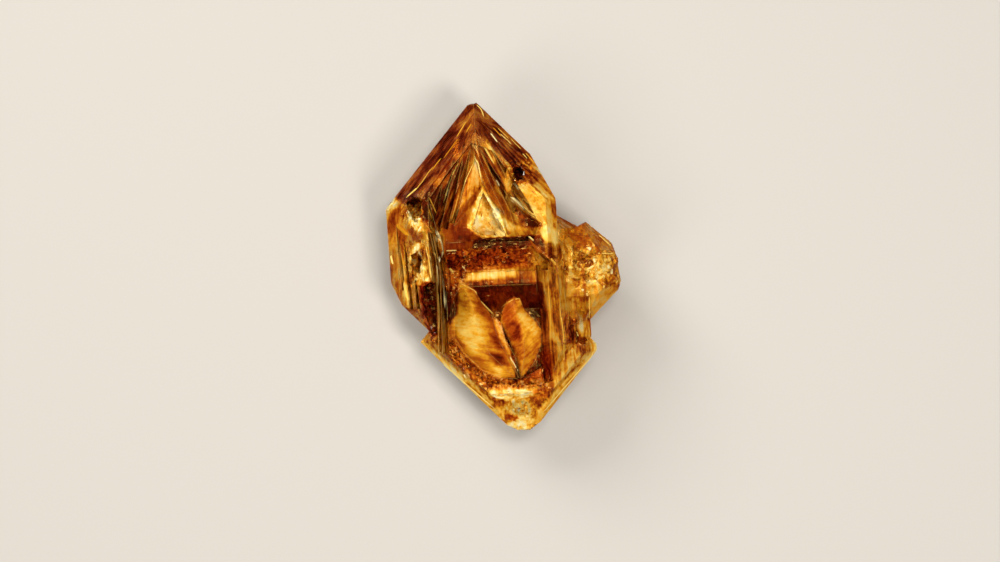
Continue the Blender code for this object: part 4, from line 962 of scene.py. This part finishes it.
class CITRINE_OT_edges(Operator):
    """The fine pale line of wear and painted highlight along the crystal's sharp edges"""

    bl_idname = "citrine.edges"
    bl_label = "Worn edges"

    def execute(self, context):
        look = context.scene.citrine_crystal_look
        piece = copy_of(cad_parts[NODE], "worn_edges")
        edit(piece)
        bpy.ops.mesh.remove_doubles(threshold=SAME_PLACE)
        bpy.ops.mesh.dissolve_limited(angle_limit=SAME_FACE)
        bpy.ops.mesh.select_all(action="DESELECT")
        leave_edit()
        draw_areas(piece.data)
        bm = bmesh.new()
        bm.from_mesh(piece.data)
        broken = bm.verts.layers.float["relief"]
        spare = []
        for edge in bm.edges:
            sharp = len(edge.link_faces) == 2 and edge.calc_face_angle_signed(0.0) > SHARPEST_FLAT
            above = any(face.normal.z > LOWEST_FACING for face in edge.link_faces)
            whole = all(vert[broken] < MOST_BROKEN for vert in edge.verts)
            if not (sharp and above and whole and edge.calc_length() > SHORTEST_EDGE * MM):
                spare.append(edge)
        bmesh.ops.delete(bm, geom=spare, context="EDGES")
        bm.to_mesh(piece.data)
        bm.free()
        piece = convert(piece, "CURVE")
        piece.data.bevel_depth = look.edge_width / 2
        piece.data.bevel_resolution = 1
        piece = convert(piece, "MESH")
        piece.name = piece.data.name = "worn_edges"
        keep_inside(piece.data)
        dress(piece, wear_and_highlight_material())
        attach(piece, BODY)
        return {"FINISHED"}


# ---- The stage ----

FLOOR_SIZE = 1.6
FLOOR_GAP = 0.1 * MM
WARM_WHITE = (1.0, 0.95, 0.88, 1.0)
# Each light's name, place and width, in metres.
LIGHTS = (
    ("key", (-0.3, 0.42, 0.36), 0.3),
    ("fill", (-0.34, -0.26, 0.44), 0.3),
    ("front", (0.2, -0.16, 0.49), 0.13),
    ("top", (0.08, 0.1, 0.52), 0.13),
)
FOCAL_LENGTH = 100.0
SENSOR_WIDTH = 36.0
OUTLINE_HEIGHT = 11.0  # the crystal's widest outline is this far above the floor, in mm
PICTURE_WIDTH = 1000
ABOVE_MIDDLE = 14  # the layout's zero lies this many pixels above the middle of the picture


def add_area_light(name, place, target, size, power):
    light = bpy.data.lights.new(name, "AREA")
    light.size = size
    light.energy = power
    lamp = put_in_scene(name, light)
    lamp.location = place
    lamp.rotation_euler = (target - place).to_track_quat("-Z", "Y").to_euler()


class CITRINE_OT_stage(Operator):
    """A plain pale floor, soft lights and a camera that looks down on the crystal's front"""

    bl_idname = "citrine.stage"
    bl_label = "Stage"

    def execute(self, context):
        look = context.scene.citrine_stage_look
        bpy.ops.object.select_all(action="DESELECT")
        bpy.ops.mesh.primitive_plane_add(size=FLOOR_SIZE, location=(0.0, 0.0, LOW.z - FLOOR_GAP))
        floor = context.object
        floor.name = "floor"
        bpy.ops.object.transform_apply(location=True, rotation=True, scale=True)
        material, tree, shader = new_material("pale floor")
        plug(tree, shader, Base_Color=(*look.floor_colour, 1.0), Roughness=0.85, Specular_IOR_Level=0.2)
        floor.data.materials.append(material)

        world = bpy.data.worlds.new("even surround")
        context.scene.world = world
        world.use_nodes = True
        surround = world.node_tree.nodes["Background"]
        plug(world.node_tree, surround, Color=WARM_WHITE, Strength=look.world_strength)

        middle = at(0.0, 0.0, OUTLINE_HEIGHT)
        for name, place, size in LIGHTS:
            add_area_light(f"{name} light", Vector(place), middle, size, getattr(look, f"{name}_power"))

        camera = bpy.data.cameras.new("camera")
        camera.lens = FOCAL_LENGTH
        camera.sensor_width = SENSOR_WIDTH
        camera.clip_start = 0.01
        camera.shift_y = -ABOVE_MIDDLE / PICTURE_WIDTH
        stand = put_in_scene("camera", camera)
        stand.location = middle + Vector((0.0, 0.0, look.camera_height))
        stand.rotation_euler.z = -look.roll
        context.scene.camera = stand
        context.scene.view_settings.view_transform = "Standard"
        return {"FINISHED"}


# ---- The add-on ----


class CITRINE_PT_panel(Panel):
    bl_label = "Citrine crystal"
    bl_space_type = "VIEW_3D"
    bl_region_type = "UI"
    bl_category = "Crystal"

    def draw(self, context):
        for look in (context.scene.citrine_crystal_look, context.scene.citrine_stage_look):
            box = self.layout.box()
            for name in look.__annotations__:
                box.prop(look, name)
        for operator in PIECES:
            self.layout.operator(operator.bl_idname)


PIECES = (CITRINE_OT_crystal, CITRINE_OT_films, CITRINE_OT_slivers, CITRINE_OT_edges, CITRINE_OT_stage)
CLASSES = (CrystalLook, StageLook, *PIECES, CITRINE_PT_panel)


def register():
    for cls in CLASSES:
        bpy.utils.register_class(cls)
    bpy.types.Scene.citrine_crystal_look = PointerProperty(type=CrystalLook)
    bpy.types.Scene.citrine_stage_look = PointerProperty(type=StageLook)


def unregister():
    del bpy.types.Scene.citrine_stage_look
    del bpy.types.Scene.citrine_crystal_look
    for cls in reversed(CLASSES):
        bpy.utils.unregister_class(cls)


def main():
    register()
    bpy.ops.citrine.crystal()
    bpy.ops.citrine.films()
    bpy.ops.citrine.slivers()
    bpy.ops.citrine.edges()
    bpy.ops.citrine.stage()


if __name__ == "__main__":
    main()
